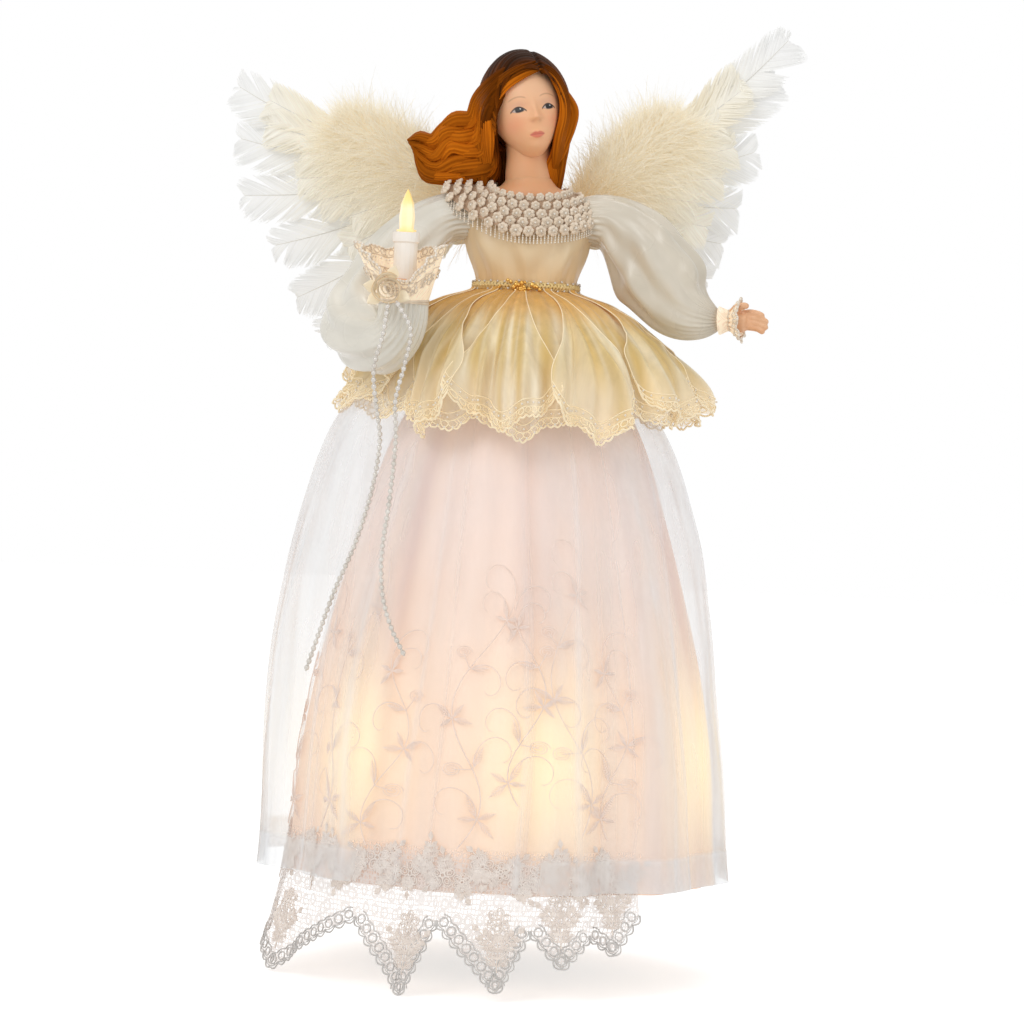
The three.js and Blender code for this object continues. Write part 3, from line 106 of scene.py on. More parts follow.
HEAD_LEAN = 11
OPEN_ARM = [[-4.5, 0, 0], [7, 0, 0], [24, 6, -17], [33, 11, -31], [41, 15, -36], [48, 17, -36]]
OPEN_SLEEVE = [
    [0, 8.2], [0.07, 9.9], [0.24, 11.8], [0.44, 15.5], [0.68, 14.8], [0.86, 10], [0.985, 6], [1, 3.4]
]
CANDLE_ARM = [
    [-4.5, 0, 0], [7, 0, 0], [27, 9, -21], [35, 23, -43], [31, 37, -49], [20, 46, -48], [20, 46, -36]
]
CANDLE_WRIST = -36
CANDLE_SLEEVE = [[0, 8.0], [0.05, 9.3], [0.23, 10.5], [0.44, 13.5], [0.6, 16], [0.82, 13], [1, 8.5]]
CANDLE = np.array([-44.65, -49.5, 214.35])
ROSE = np.array([-50.15, -64.45, 213.85])
ROSE_RADIUS = 5
PEARL_RADIUS = 0.95
PEARL_PITCH = 2.5
OUTER_STRAND = [
    [0.5, -0.5, -5.1], [-0.9, -1.5, -16.8], [-3.4, -2.5, -27.5], [-3.4, -3, -34], [-1.4, -3.5, -46.3],
    [-0.3, -3.5, -54.5], [-2.4, -3.5, -72.8], [-7.7, -3.5, -92.8], [-14.2, -2.5, -109.4], [-19, -1.5, -124.2],
    [-23.7, -0.5, -139.5],
]
INNER_STRAND = [
    [3.4, -0.5, -4.3], [9, -1, -14.3], [7.5, -2.5, -27], [4.8, -4.5, -40], [5.5, -5.5, -54.3],
    [4.3, -7.5, -76], [2.3, -8.5, -98], [3.7, -9.5, -112.3], [7.4, -10.5, -123], [12.2, -10.5, -132],
]
WING_HINGE = np.array([7, 20.5, WAIST + 32])
WING_SWEEP = 10
WINGS = {
    "left": (
        -1,
        [[108, 54], [107, 34], [105, 12], [92, -7], [83, -27], [72, -40]],
        [[9, 6], [41, 27], [70, 41]],
    ),
    "right": (
        1,
        [[91, 81], [86, 65], [80, 37], [74, 15], [69, 1], [64, -13]],
        [[9, 6], [30, 29], [50, 47]],
    ),
}


def colour(red, green, blue):
    """A colour as it looks, in the linear light that the shaders take"""
    return tuple(((c + 0.055) / 1.055) ** 2.4 for c in (red, green, blue))


def dye(red, green, blue):
    """A colour as it looks, for the paint on a piece's points"""
    return np.array(colour(red, green, blue))


def grey(value):
    """One value for all three colours of the paint"""
    return np.repeat(value[..., None], 3, -1)


WHITE = (1, 1, 1)


# Lines and surfaces


def profile(pairs):
    """The smooth curve through [x, value] pairs, level beyond its ends"""
    xs, ys = np.array(pairs, float).T
    before = np.maximum(np.arange(len(xs)) - 1, 0)
    after = np.minimum(np.arange(len(xs)) + 1, len(xs) - 1)
    slopes = (ys[after] - ys[before]) / (xs[after] - xs[before])

    def at(x):
        i = np.clip(np.searchsorted(xs, x) - 1, 0, len(xs) - 2)
        span = xs[i + 1] - xs[i]
        t = np.clip((x - xs[i]) / span, 0, 1)
        s = 1 - t
        ends = ys[i] * s * s * (1 + 2 * t) + ys[i + 1] * t * t * (3 - 2 * t)
        return ends + span * s * t * (slopes[i] * s - slopes[i + 1] * t)

    return at


def laid_out(columns, rows):
    """Two grids of even steps, given as (first, last, count) across and down"""
    return np.meshgrid(np.linspace(*columns), np.linspace(*rows))


def bell(offset, width):
    return np.exp(-((offset / width) ** 2))


def ease(share):
    share = np.clip(share, 0, 1)
    return share * share * (3 - 2 * share)


def apart(angle, degrees):
    return np.arccos(np.cos(angle - math.radians(degrees)))


def around(radius, angle, z):
    return np.stack(np.broadcast_arrays(radius * np.sin(angle), -radius * np.cos(angle), z), -1)


def unit(vectors):
    return vectors / np.maximum(np.linalg.norm(vectors, axis=-1, keepdims=True), 1e-9)


def evenly(line, count):
    reach = np.concatenate([[0], np.cumsum(np.linalg.norm(np.diff(line, axis=0), axis=1))])
    places = np.linspace(0, reach[-1], count)
    return np.stack([np.interp(places, reach, line[:, k]) for k in range(line.shape[1])], 1)


def length_of(line):
    return float(np.linalg.norm(np.diff(line, axis=0), axis=1).sum())


def spline(points, count):
    """A smooth line through the points, in even steps"""
    points = np.asarray(points, float)
    ends = [2 * points[0] - points[1], *points, 2 * points[-1] - points[-2]]
    t = np.linspace(0, 1, 24, endpoint=False)[:, None]
    runs = []
    for p0, p1, p2, p3 in zip(ends, ends[1:], ends[2:], ends[3:]):
        d0, d1, d2 = (math.sqrt(np.linalg.norm(b - a)) for a, b in ((p0, p1), (p1, p2), (p2, p3)))
        leave = ((p1 - p0) / d0 - (p2 - p0) / (d0 + d1) + (p2 - p1) / d1) * d1
        arrive = ((p2 - p1) / d1 - (p3 - p1) / (d1 + d2) + (p3 - p2) / d2) * d1
        square = 3 * (p2 - p1) - 2 * leave - arrive
        cube = 2 * (p1 - p2) + leave + arrive
        runs.append(p1 + leave * t + square * t**2 + cube * t**3)
    return evenly(np.vstack([*runs, points[-1:]]), count)


def frames_along(line):
    """Two directions square to a line that turn as little as they can"""
    tangent = unit(np.gradient(line, axis=0))
    start = np.array([0, 0, 1.0]) if abs(tangent[0][2]) < 0.9 else np.array([1.0, 0, 0])
    side = np.zeros_like(line)
    for i, along in enumerate(tangent):
        start = start - np.dot(start, along) * along
        start = start / np.linalg.norm(start)
        side[i] = start
    return side, np.cross(tangent, side)


def turned(turn, side, up):
    """Directions that turn from one to the other"""
    return np.cos(turn)[..., None] * side + np.sin(turn)[..., None] * up


def tube(line, radius, sides):
    """Rings of points round a line"""
    side, up = frames_along(line)
    ring = turned(TURN * np.arange(sides) / sides, side[:, None], up[:, None])
    return line[:, None] + np.broadcast_to(radius, len(line))[:, None, None] * ring


def quads(rows, columns, wrapped):
    row = np.arange(rows - 1)[:, None] * columns
    here = np.arange(columns if wrapped else columns - 1)[None, :]
    after = (here + 1) % columns
    return np.stack([row + here, row + columns + here, row + columns + after, row + after], -1).reshape(-1, 4)


def ball(columns, rows):
    turn = TURN * np.arange(columns) / columns
    polar = np.linspace(0, math.pi, rows + 1)[:, None]
    return np.stack(
        np.broadcast_arrays(np.sin(polar) * np.cos(turn), np.sin(polar) * np.sin(turn), np.cos(polar)), -1
    ).reshape(-1, 3)


class Shape:
    """Points in millimetres with their faces, painted colours and places on the flat cut"""

    def __init__(self):
        self.points, self.faces, self.paints, self.cuts, self.count = [], [], [], [], 0

    def add(self, points, faces, paint=WHITE, cut=None):
        points = np.asarray(points, float).reshape(-1, 3)
        paint = np.asarray(paint, float)
        self.points.append(points)
        self.faces.append(np.asarray(faces, int) + self.count)
        self.paints.append(np.broadcast_to(paint.reshape(-1, 3), (len(points), 3)))
        self.cuts.append(np.zeros((len(points), 2)) if cut is None else np.asarray(cut).reshape(-1, 2))
        self.count += len(points)

    def grid(self, points, wrapped, paint=WHITE, cut=None):
        self.add(points, quads(*points.shape[:2], wrapped), paint, cut)

    def thread(self, line, radius, sides):
        self.grid(tube(np.asarray(line, float), radius, sides), True)

    def strips(self, lines, halves, paint):
        """Flat ribbons, as many as lines has rows, each with a half width and a colour by step"""
        count, steps = lines.shape[:2]
        start = 2 * steps * np.arange(count)[:, None] + 2 * np.arange(steps - 1)[None, :]
        faces = np.stack([start, start + 2, start + 3, start + 1], -1).reshape(-1, 4)
        paint = np.repeat(np.broadcast_to(paint, lines.shape)[:, :, None], 2, axis=2)
        self.add(np.stack([lines - halves, lines + halves], 2), faces, paint)

    def beads(self, centres, radius, along=None, stretch=1.0, columns=7, rows=5):
        """Round beads, or beads drawn out or flattened along a direction each"""
        centres = np.asarray(centres, float).reshape(-1, 3)
        bead = ball(columns, rows)
        offsets = np.repeat(bead[None], len(centres), 0)
        if along is not None:
            reach = np.einsum("mk,nk->nm", bead, along)
            offsets = offsets + (stretch - 1) * reach[..., None] * along[:, None]
        radius = np.broadcast_to(radius, len(centres))
        faces = quads(rows + 1, columns, True)[None] + (len(bead) * np.arange(len(centres)))[:, None, None]
        self.add(centres[:, None] + radius[:, None, None] * offsets, faces.reshape(-1, 4))


def set_up(name, data):
    """A new object in the scene"""
    thing = bpy.data.objects.new(name, data)
    bpy.context.scene.collection.objects.link(thing)
    return thing


def made(name, shape, finish, body, replaces=()):
    """The shape as a piece that rides on a body and stands for the given nodes of the part"""
    mesh = bpy.data.meshes.new(name)
    corners = np.concatenate([f.ravel() for f in shape.faces])
    sides = np.concatenate([np.full(len(f), f.shape[1]) for f in shape.faces])
    mesh.vertices.add(shape.count)
    mesh.vertices.foreach_set("co", (np.vstack(shape.points) * MM).ravel())
    mesh.loops.add(len(corners))
    mesh.loops.foreach_set("vertex_index", corners)
    mesh.polygons.add(len(sides))
    mesh.polygons.foreach_set("loop_start", np.concatenate([[0], np.cumsum(sides)[:-1]]))
    mesh.polygons.foreach_set("use_smooth", np.ones(len(sides), bool))
    mesh.update(calc_edges=True)
    paint = mesh.color_attributes.new("paint", "FLOAT_COLOR", "POINT")
    colours = np.ones((shape.count, 4))
    colours[:, :3] = np.vstack(shape.paints)
    paint.data.foreach_set("color", colours.ravel())
    flat = mesh.uv_layers.new(name="cut")
    flat.data.foreach_set("uv", (np.vstack(shape.cuts) * MM)[corners].ravel())
    mesh.materials.append(finish)
    piece = set_up(name, mesh)
    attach(piece, body)
    if replaces:
        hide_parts(*replaces)
    return piece


def flat_cut(grid):
    """Places on the flat cloth, in millimetres, for a grid whose rows run down it"""
    across = np.concatenate(
        [np.zeros((len(grid), 1)), np.cumsum(np.linalg.norm(np.diff(grid, axis=1), axis=2), 1)], 1
    )
    down = np.concatenate(
        [np.zeros((1, grid.shape[1])), np.cumsum(np.linalg.norm(np.diff(grid, axis=0), axis=2), 0)], 0
    )
    return np.stack([across - across[:, -1:] / 2, down], -1)


def cloth(name, grid, finish, body, replaces, paint, trims=()):
    """One sheet of cloth from a grid of points, with its flat size on the cut and the trims sewn to it

    Each trim is a name, a shape, a finish and a slot; the slot is not used.
    """
    sewn = [made(label, shape, look, body) for label, shape, look, place in trims]
    flat = flat_cut(grid)
    shape = Shape()
    shape.grid(grid, False, paint, flat)
    piece = made(name, shape, finish, body, replaces)


# Finishes


def wired(tree, kind, inputs=None, **settings):
    """A node with its settings, its inputs given as values or as sockets to join"""
    node = tree.nodes.new(kind)
    for key, value in settings.items():
        setattr(node, key, value)
    for key, value in (inputs or {}).items():
        if isinstance(value, bpy.types.NodeSocket):
            tree.links.new(value, node.inputs[key])
        else:
            node.inputs[key].default_value = value
    return node


def fed(tree, node, **sockets):
    """Joins sockets of other nodes to a node's own, by name"""
    for key, socket in sockets.items():
        tree.links.new(socket, node.inputs[key.replace("_", " ")])


def new_group(name, inputs, outputs):
    tree = bpy.data.node_groups.new(name, "ShaderNodeTree")
    for label, kind, value in inputs:
        socket = tree.interface.new_socket(label, in_out="INPUT", socket_type=kind)
        socket.default_value = value
    for label, kind in outputs:
        tree.interface.new_socket(label, in_out="OUTPUT", socket_type=kind)
    return tree, tree.nodes.new("NodeGroupInput"), tree.nodes.new("NodeGroupOutput")


def sums(tree, operation, first, second=0.0, third=0.0):
    return wired(tree, "ShaderNodeMath", {0: first, 1: second, 2: third}, operation=operation).outputs[0]


def weave_group():
    """Warp and weft on the flat cut; Threads is how many there are in a metre"""
    tree, given, result = new_group(
        "woven threads", [("Threads", "NodeSocketFloat", 2500.0)], [("Height", "NodeSocketFloat")]
    )
    place = wired(tree, "ShaderNodeSeparateXYZ", {0: wired(tree, "ShaderNodeUVMap", uv_map="cut").outputs[0]})
    turns = sums(tree, "MULTIPLY", given.outputs["Threads"], TURN)
    warp = sums(tree, "SINE", sums(tree, "MULTIPLY", place.outputs[0], turns))
    weft = sums(tree, "SINE", sums(tree, "MULTIPLY", place.outputs[1], turns))
    fed(tree, result, Height=sums(tree, "MULTIPLY_ADD", sums(tree, "MULTIPLY", warp, weft), 0.5, 0.5))
    return tree


def mottle_group():
    """A slow change between two colours over the surface"""
    tree, given, result = new_group(
        "slow change of colour",
        [
            ("Scale", "NodeSocketFloat", 60.0),
            ("One", "NodeSocketColor", (1, 1, 1, 1)),
            ("Other", "NodeSocketColor", (1, 1, 1, 1)),
        ],
        [("Colour", "NodeSocketColor"), ("Share", "NodeSocketFloat")],
    )
    place = wired(tree, "ShaderNodeTexCoord").outputs["Object"]
    scale = given.outputs["Scale"]
    noise = wired(tree, "ShaderNodeTexNoise", {"Vector": place, "Scale": scale, "Detail": 3.0})
    share = wired(tree, "ShaderNodeMapRange", {0: noise.outputs["Fac"], 1: 0.3, 2: 0.7}).outputs[0]
    fed(tree, result, Colour=mixed(tree, share, given.outputs["One"], given.outputs["Other"]), Share=share)
    return tree


def lamp_glow_group():
    """How brightly the six lamps in the cone light the cloth in front of them"""
    tree, given, result = new_group(
        "lamp glow",
        [("Reach", "NodeSocketFloat", 0.02)],
        [("Spot", "NodeSocketFloat"), ("Wash", "NodeSocketFloat")],
    )
    place = wired(tree, "ShaderNodeSeparateXYZ", {0: wired(tree, "ShaderNodeTexCoord").outputs["Object"]})
    forward = sums(tree, "MULTIPLY", place.outputs[1], -1.0)
    angle = sums(tree, "ARCTAN2", place.outputs[0], forward)
    step = TURN / LAMPS
    start = step / 2 - math.radians(LAMP_TURN)
    nearest = sums(tree, "FLOORED_MODULO", sums(tree, "ADD", angle, start), step)
    cloth_radius, tall, wash_reach = 0.078, 0.72, 0.05
    beside = sums(tree, "MULTIPLY", sums(tree, "SUBTRACT", nearest, step / 2), cloth_radius)
    above = sums(tree, "MULTIPLY", sums(tree, "SUBTRACT", place.outputs[2], LAMP_HEIGHT * MM), tall)
    far = sums(tree, "MULTIPLY_ADD", beside, beside, sums(tree, "MULTIPLY", above, above))
    near = sums(tree, "DIVIDE", sums(tree, "SQRT", far), given.outputs["Reach"])
    rise = sums(tree, "DIVIDE", above, wash_reach)

    def falling(distance):
        square = sums(tree, "MULTIPLY", distance, distance)
        return sums(tree, "EXPONENT", sums(tree, "MULTIPLY", square, -1.0))

    fed(tree, result, Spot=falling(near), Wash=falling(rise))
    return tree


def lace_group():
    """Where a lace ground has thread: a fine net with rings worked on it"""
    tree, given, result = new_group(
        "lace ground",
        [("Mesh", "NodeSocketFloat", 700.0), ("Thread", "NodeSocketFloat", 0.12)],
        [("Mask", "NodeSocketFloat")],
    )
    place = wired(tree, "ShaderNodeUVMap", uv_map="cut").outputs[0]
    mesh = given.outputs["Mesh"]

    def cells(scale, randomness, feature):
        inputs = {"Vector": place, "Scale": scale, "Randomness": randomness}
        node = wired(tree, "ShaderNodeTexVoronoi", inputs, voronoi_dimensions="2D", feature=feature)
        return node.outputs["Distance"]

    threads = sums(tree, "LESS_THAN", cells(mesh, 0.35, "DISTANCE_TO_EDGE"), given.outputs["Thread"])
    worked = sums(tree, "SUBTRACT", cells(sums(tree, "MULTIPLY", mesh, 0.3), 0.6, "F1"), 0.3)
    ring = sums(tree, "LESS_THAN", sums(tree, "ABSOLUTE", worked), 0.09)
    fed(tree, result, Mask=sums(tree, "MAXIMUM", threads, ring))
    return tree


def opaque(value):
    """A colour of three numbers with its fourth, and anything else as it is"""
    return (*value, 1) if isinstance(value, tuple) else value


def mixed(tree, share, one, other, **settings):
    """Between two colours by a mask"""
    inputs = {"Factor": share, "A": opaque(one), "B": opaque(other)}
    return wired(tree, "ShaderNodeMix", inputs, data_type="RGBA", **settings).outputs["Result"]


WEAVE = weave_group()
MOTTLE = mottle_group()
LAMP_GLOW = lamp_glow_group()
LACE = lace_group()


def grouped(tree, group, **inputs):
    return wired(tree, "ShaderNodeGroup", inputs, node_tree=group)


def mottled(tree, scale, one, other):
    return grouped(tree, MOTTLE, Scale=scale, One=opaque(one), Other=opaque(other))


def new_finish(name, **sockets):
    """A finish with the shader's plain values set, and its node tree and shader to build on"""
    finish = bpy.data.materials.new(name)
    finish.use_nodes = True
    shader = finish.node_tree.nodes["Principled BSDF"]
    for key, value in sockets.items():
        shader.inputs[key.replace("_", " ")].default_value = opaque(value)
    return finish, finish.node_tree, shader


def bumped(tree, shader, height, strength, distance):
    bump = wired(tree, "ShaderNodeBump", {"Height": height, "Strength": strength, "Distance": distance})
    fed(tree, shader, Normal=bump.outputs[0])


def woven(tree, shader, threads, strength, distance):
    bumped(tree, shader, grouped(tree, WEAVE, Threads=threads).outputs["Height"], strength, distance)


def paint_of(tree):
    """The colour painted on the piece's points"""
    return wired(tree, "ShaderNodeVertexColor", layer_name="paint").outputs["Color"]


def noise_height(tree, scale, detail=4.0, stretch=(1, 1, 1)):
    place = wired(tree, "ShaderNodeTexCoord").outputs["Object"]
    spread = wired(tree, "ShaderNodeMapping", {"Vector": place, "Scale": stretch}).outputs[0]
    inputs = {"Vector": spread, "Scale": scale, "Detail": detail}
    return wired(tree, "ShaderNodeTexNoise", inputs).outputs["Fac"]


def ranged(tree, value, low, high):
    return wired(tree, "ShaderNodeMapRange", {0: value, 3: low, 4: high}).outputs[0]


def tinted(tree, one, other):
    """One colour seen through another"""
    return mixed(tree, 1.0, one, other, blend_type="MULTIPLY")


def painted_finish(name, roughness, grain, depth, **sockets):
    """Paint on a moulded or woven piece, with a fine grain under it"""
    finish, tree, shader = new_finish(name, **sockets)
    height = noise_height(tree, grain)
    rough = ranged(tree, height, roughness - 0.08, roughness + 0.08)
    fed(tree, shader, Base_Color=paint_of(tree), Roughness=rough)
    bumped(tree, shader, height, 0.35, depth)
    return finish


def downy_finish(name, through):
    """Feather and down, with a painted glow, an emission in its own paint, for the light that comes through
    its fine barbs
    """
    finish, tree, shader = new_finish(
        name, Sheen_Weight=0.6, Sheen_Roughness=0.5, Emission_Strength=through
    )
    paint = paint_of(tree)
    rough = ranged(tree, noise_height(tree, 1500.0), 0.6, 0.85)
    fed(tree, shader, Base_Color=paint, Emission_Color=paint, Roughness=rough)
    return finish


def satin_finish(name, one, other, roughness, threads):
    """Satin: a slow change of tint, fine threads and a soft sheen"""
    finish, tree, shader = new_finish(name, Sheen_Weight=0.25, Sheen_Roughness=0.35)
    tint = mottled(tree, 45.0, one, other)
    rough = ranged(tree, tint.outputs["Share"], roughness - 0.05, roughness + 0.06)
    fed(tree, shader, Base_Color=tinted(tree, tint.outputs["Colour"], paint_of(tree)), Roughness=rough)
    woven(tree, shader, threads, 0.1, 0.00004)
    return finish


def lining_finish():
    """The satin of the inner skirt, lit from inside by the lamps: their light is painted in, as a more orange
    base colour round each lamp and as a painted glow, an emission over all of it that is brightest round the
    lamps
    """
    finish, tree, shader = new_finish("lining_satin", Sheen_Weight=0.15, Emission_Strength=0.46)
    tint = mottled(tree, 35.0, colour(0.965, 0.9, 0.875), colour(0.965, 0.88, 0.84))
    glow = grouped(tree, LAMP_GLOW, Reach=0.022)
    spot, wash = glow.outputs["Spot"], glow.outputs["Wash"]
    # Painted lamp light in the base colour: more orange in the lamps' wash and yellower at their spots
    lamp_washed = mixed(
        tree, sums(tree, "MULTIPLY", wash, 0.85), tint.outputs["Colour"], colour(0.985, 0.88, 0.78)
    )
    painted_warm_light_and_shade = mixed(tree, spot, lamp_washed, colour(1, 0.95, 0.82))
    # Painted glow: an emission over all the lining, brighter in the lamps' wash and brightest at their spots
    haze = mixed(tree, sums(tree, "MULTIPLY", wash, 0.25), colour(0.5, 0.435, 0.41), colour(1, 0.84, 0.68))
    lit = mixed(tree, sums(tree, "MULTIPLY", spot, 0.8), haze, colour(1, 0.87, 0.64))
    paint = paint_of(tree)
    rough = ranged(tree, tint.outputs["Share"], 0.42, 0.55)
    fed(tree, shader, Base_Color=tinted(tree, painted_warm_light_and_shade, paint), Roughness=rough)
    fed(tree, shader, Emission_Color=tinted(tree, lit, paint))
    woven(tree, shader, 3000.0, 0.2, 0.00005)
    return finish


def sheer_finish(name, tint, other, lace_mesh=None):
    """Sheer cloth: the paint's red is how closely it covers, and its green where it has a lace net"""
    finish, tree, shader = new_finish(name, Sheen_Weight=0.3, Sheen_Roughness=0.4, Roughness=0.45)
    channels = wired(tree, "ShaderNodeSeparateColor", {0: paint_of(tree)})
    crease = ranged(tree, noise_height(tree, 150.0, 1.0, (1, 1, 0.03)), 0.25, 1.75)
    cover = ranged(tree, sums(tree, "MULTIPLY", channels.outputs[0], crease), 0.0, 1.0)
    if lace_mesh:
        net = grouped(tree, LACE, Mesh=lace_mesh, Thread=0.14).outputs["Mask"]
        share = sums(tree, "MULTIPLY", channels.outputs[1], 0.75)
        cover = sums(tree, "MAXIMUM", cover, sums(tree, "MULTIPLY", net, share))
    fed(tree, shader, Base_Color=mottled(tree, 40.0, tint, other).outputs["Colour"], Alpha=cover)
    woven(tree, shader, 2600.0, 0.3, 0.00006)
    return finish


def peplum_finish():
    """Cream organza, gathered: a painted glow that grows, and thinner cover, towards its hem; the glow is an
    emission in its own paint
    """
    finish, tree, shader = new_finish(
        "peplum_organza", Sheen_Weight=0.3, Sheen_Roughness=0.4, Roughness=0.5, Emission_Strength=0.3
    )
    place = wired(tree, "ShaderNodeTexCoord").outputs["Object"]
    height = wired(tree, "ShaderNodeSeparateXYZ", {0: place}).outputs[2]

    def from_hem(low, high):
        span = {0: height, 1: (WAIST - 45) * MM, 2: (WAIST - 16) * MM, 3: low, 4: high}
        return wired(tree, "ShaderNodeMapRange", span).outputs[0]

    paint = paint_of(tree)
    crease = noise_height(tree, 260.0, 2.0, (1, 1, 0.04))
    cover = sums(tree, "MULTIPLY", ranged(tree, crease, 0.68, 1.05), from_hem(0.42, 1.0))
    # Painted glow: the emission is strongest at the hem and faint near the waist
    lit = mixed(tree, from_hem(1.0, 0.22), (0, 0, 0), paint)
    fed(tree, shader, Base_Color=paint, Emission_Color=lit, Alpha=cover)
    weave = grouped(tree, WEAVE, Threads=2200.0).outputs["Height"]
    bumped(tree, shader, sums(tree, "ADD", crease, weave), 0.4, 0.0002)
    return finish


def lace_finish(name, tint, mesh, thread, ground):
    """Lace: a net with worked rings, on a ground that the paint's red covers more closely"""
    # A faint painted glow: an emission in the lace's own tint
    finish, tree, shader = new_finish(
        name, Roughness=0.6, Sheen_Weight=0.2, Emission_Color=tint, Emission_Strength=0.2
    )
    share = grouped(tree, MOTTLE, Scale=200.0).outputs["Share"]
    mask = grouped(tree, LACE, Mesh=mesh, Thread=thread).outputs["Mask"]
    close = wired(tree, "ShaderNodeSeparateColor", {0: paint_of(tree)}).outputs[0]
    cover = sums(tree, "MAXIMUM", ranged(tree, mask, ground, 0.95), close)
    fed(tree, shader, Base_Color=mixed(tree, share, tint, tuple(0.93 * c for c in tint)), Alpha=cover)
    bumped(tree, shader, mask, 0.5, 0.0001)
    return finish


def grained_finish(name, one, other, roughness, scale, grain, detail, rougher, strength, **sockets):
    """A slow change of tint over a fine grain that is also its bump"""
    finish, tree, shader = new_finish(name, **sockets)
    height = noise_height(tree, grain, detail)
    rough = ranged(tree, height, roughness - rougher, roughness + rougher)
    fed(tree, shader, Base_Color=mottled(tree, scale, one, other).outputs["Colour"], Roughness=rough)
    bumped(tree, shader, height, strength, 0.0001)
    return finish


def thread_finish(name, one, other, roughness, **sockets):
    """Twisted thread, with the twist as a fine bump"""
    return grained_finish(name, one, other, roughness, 300.0, 2600.0, 1.0, 0.1, 0.5, **sockets)


def moulded_finish(name, one, other, roughness, grain, **sockets):
    return grained_finish(name, one, other, roughness, grain / 4, grain, 4.0, 0.07, 0.2, **sockets)


def lamp_finish(name, strength):
    """Clear lamp glass, lit: brightest round the filament and paler towards the tip"""
    finish, tree, shader = new_finish(
        name, Base_Color=colour(0.9, 0.76, 0.46), Roughness=0.06, Emission_Strength=strength, Coat_Weight=0.4
    )
    place = wired(tree, "ShaderNodeTexCoord").outputs["Generated"]
    up = wired(tree, "ShaderNodeSeparateXYZ", {0: place}).outputs[2]
    ramp = wired(tree, "ShaderNodeValToRGB", {0: up})
    stops = ramp.color_ramp.elements
    stops[0].position, stops[0].color = 0.3, opaque(colour(1, 0.86, 0.55))
    stops[1].position, stops[1].color = 1.0, opaque(colour(0.96, 0.8, 0.45))
    for position, tint in ((0.42, (1, 0.98, 0.88)), (0.68, (1, 0.99, 0.93)), (0.82, (1, 0.9, 0.6))):
        stops.new(position).color = opaque(colour(*tint))
    fed(tree, shader, Emission_Color=ramp.outputs[0])
    return finish


SKIN = painted_finish("painted_skin", 0.46, 900.0, 0.00005, Subsurface_Weight=0.12, Subsurface_Scale=0.002)
HAIR = painted_finish(
    "painted_hair", 0.5, 1500.0, 0.00012, Specular_IOR_Level=0.06, Specular_Tint=colour(0.8, 0.5, 0.2)
)
BODICE_SATIN = satin_finish(
    "bodice_satin", colour(0.915, 0.825, 0.68), colour(0.9, 0.795, 0.635), 0.36, 3000.0
)
SLEEVE_SATIN = satin_finish(
    "sleeve_satin", colour(0.93, 0.92, 0.89), colour(0.86, 0.85, 0.815), 0.28, 3000.0
)
LINING_SATIN = lining_finish()
APRON_ORGANZA = sheer_finish(
    "apron_organza", colour(0.97, 0.93, 0.905), colour(0.945, 0.905, 0.88), lace_mesh=560.0
)
OVERSKIRT_ORGANZA = sheer_finish("overskirt_organza", colour(0.97, 0.97, 0.97), colour(0.93, 0.94, 0.95))
PEPLUM_ORGANZA = peplum_finish()
# The lace, embroidery and cream threads carry a faint painted glow: an emission near their own colour
LACE_THREAD = thread_finish(
    "lace_thread", colour(0.975, 0.935, 0.9), colour(0.915, 0.865, 0.825), 0.55, Sheen_Weight=0.2,
    Emission_Color=colour(0.96, 0.91, 0.87), Emission_Strength=0.08,
)
LACE_CORD = thread_finish("lace_cord", colour(0.89, 0.875, 0.86), colour(0.81, 0.795, 0.78), 0.55)
EMBROIDERY = thread_finish(
    "embroidery_thread", colour(0.965, 0.9, 0.86), colour(0.9, 0.825, 0.78), 0.4,
    Emission_Color=colour(0.95, 0.86, 0.8), Emission_Strength=0.12,
)
CREAM_THREAD = thread_finish(
    "cream_thread", colour(0.975, 0.92, 0.8), colour(0.935, 0.865, 0.73), 0.55,
    Emission_Color=colour(0.97, 0.9, 0.77), Emission_Strength=0.16,
)
BRAID_THREAD = thread_finish(
    "braid_thread", colour(0.95, 0.86, 0.64), colour(0.91, 0.78, 0.5), 0.45, Sheen_Weight=0.2
)
FLORET_YARN = thread_finish(
    "floret_yarn", colour(0.94, 0.88, 0.8), colour(0.885, 0.81, 0.715), 0.65, Sheen_Weight=0.2
)
# The net under the florets is painted much darker than they are: a painted shade in the gaps between them
COLLAR_NET_PAINTED_SHADE = thread_finish(
    "collar_net_painted_shade", colour(0.76, 0.64, 0.53), colour(0.68, 0.56, 0.45), 0.65, Sheen_Weight=0.2
)
CUFF_LACE = lace_finish("cuff_lace", colour(1, 0.93, 0.82), 330.0, 0.08, 0.8)
SEED_PEARL = moulded_finish(
    "seed_pearl", colour(0.98, 0.95, 0.9), colour(0.93, 0.89, 0.83), 0.25, 900.0, Coat_Weight=0.4
)
PEARL = moulded_finish(
    "pearl_bead", colour(0.88, 0.86, 0.83), colour(0.8, 0.77, 0.73), 0.18, 700.0,
    Coat_Weight=0.6, Metallic=0.25,
)
GOLD = moulded_finish(
    "gold_bead", colour(0.93, 0.78, 0.46), colour(0.86, 0.66, 0.32), 0.25, 800.0, Metallic=0.7
)
ROSE_RIBBON = painted_finish("rose_ribbon", 0.4, 1200.0, 0.00008, Sheen_Weight=0.3)
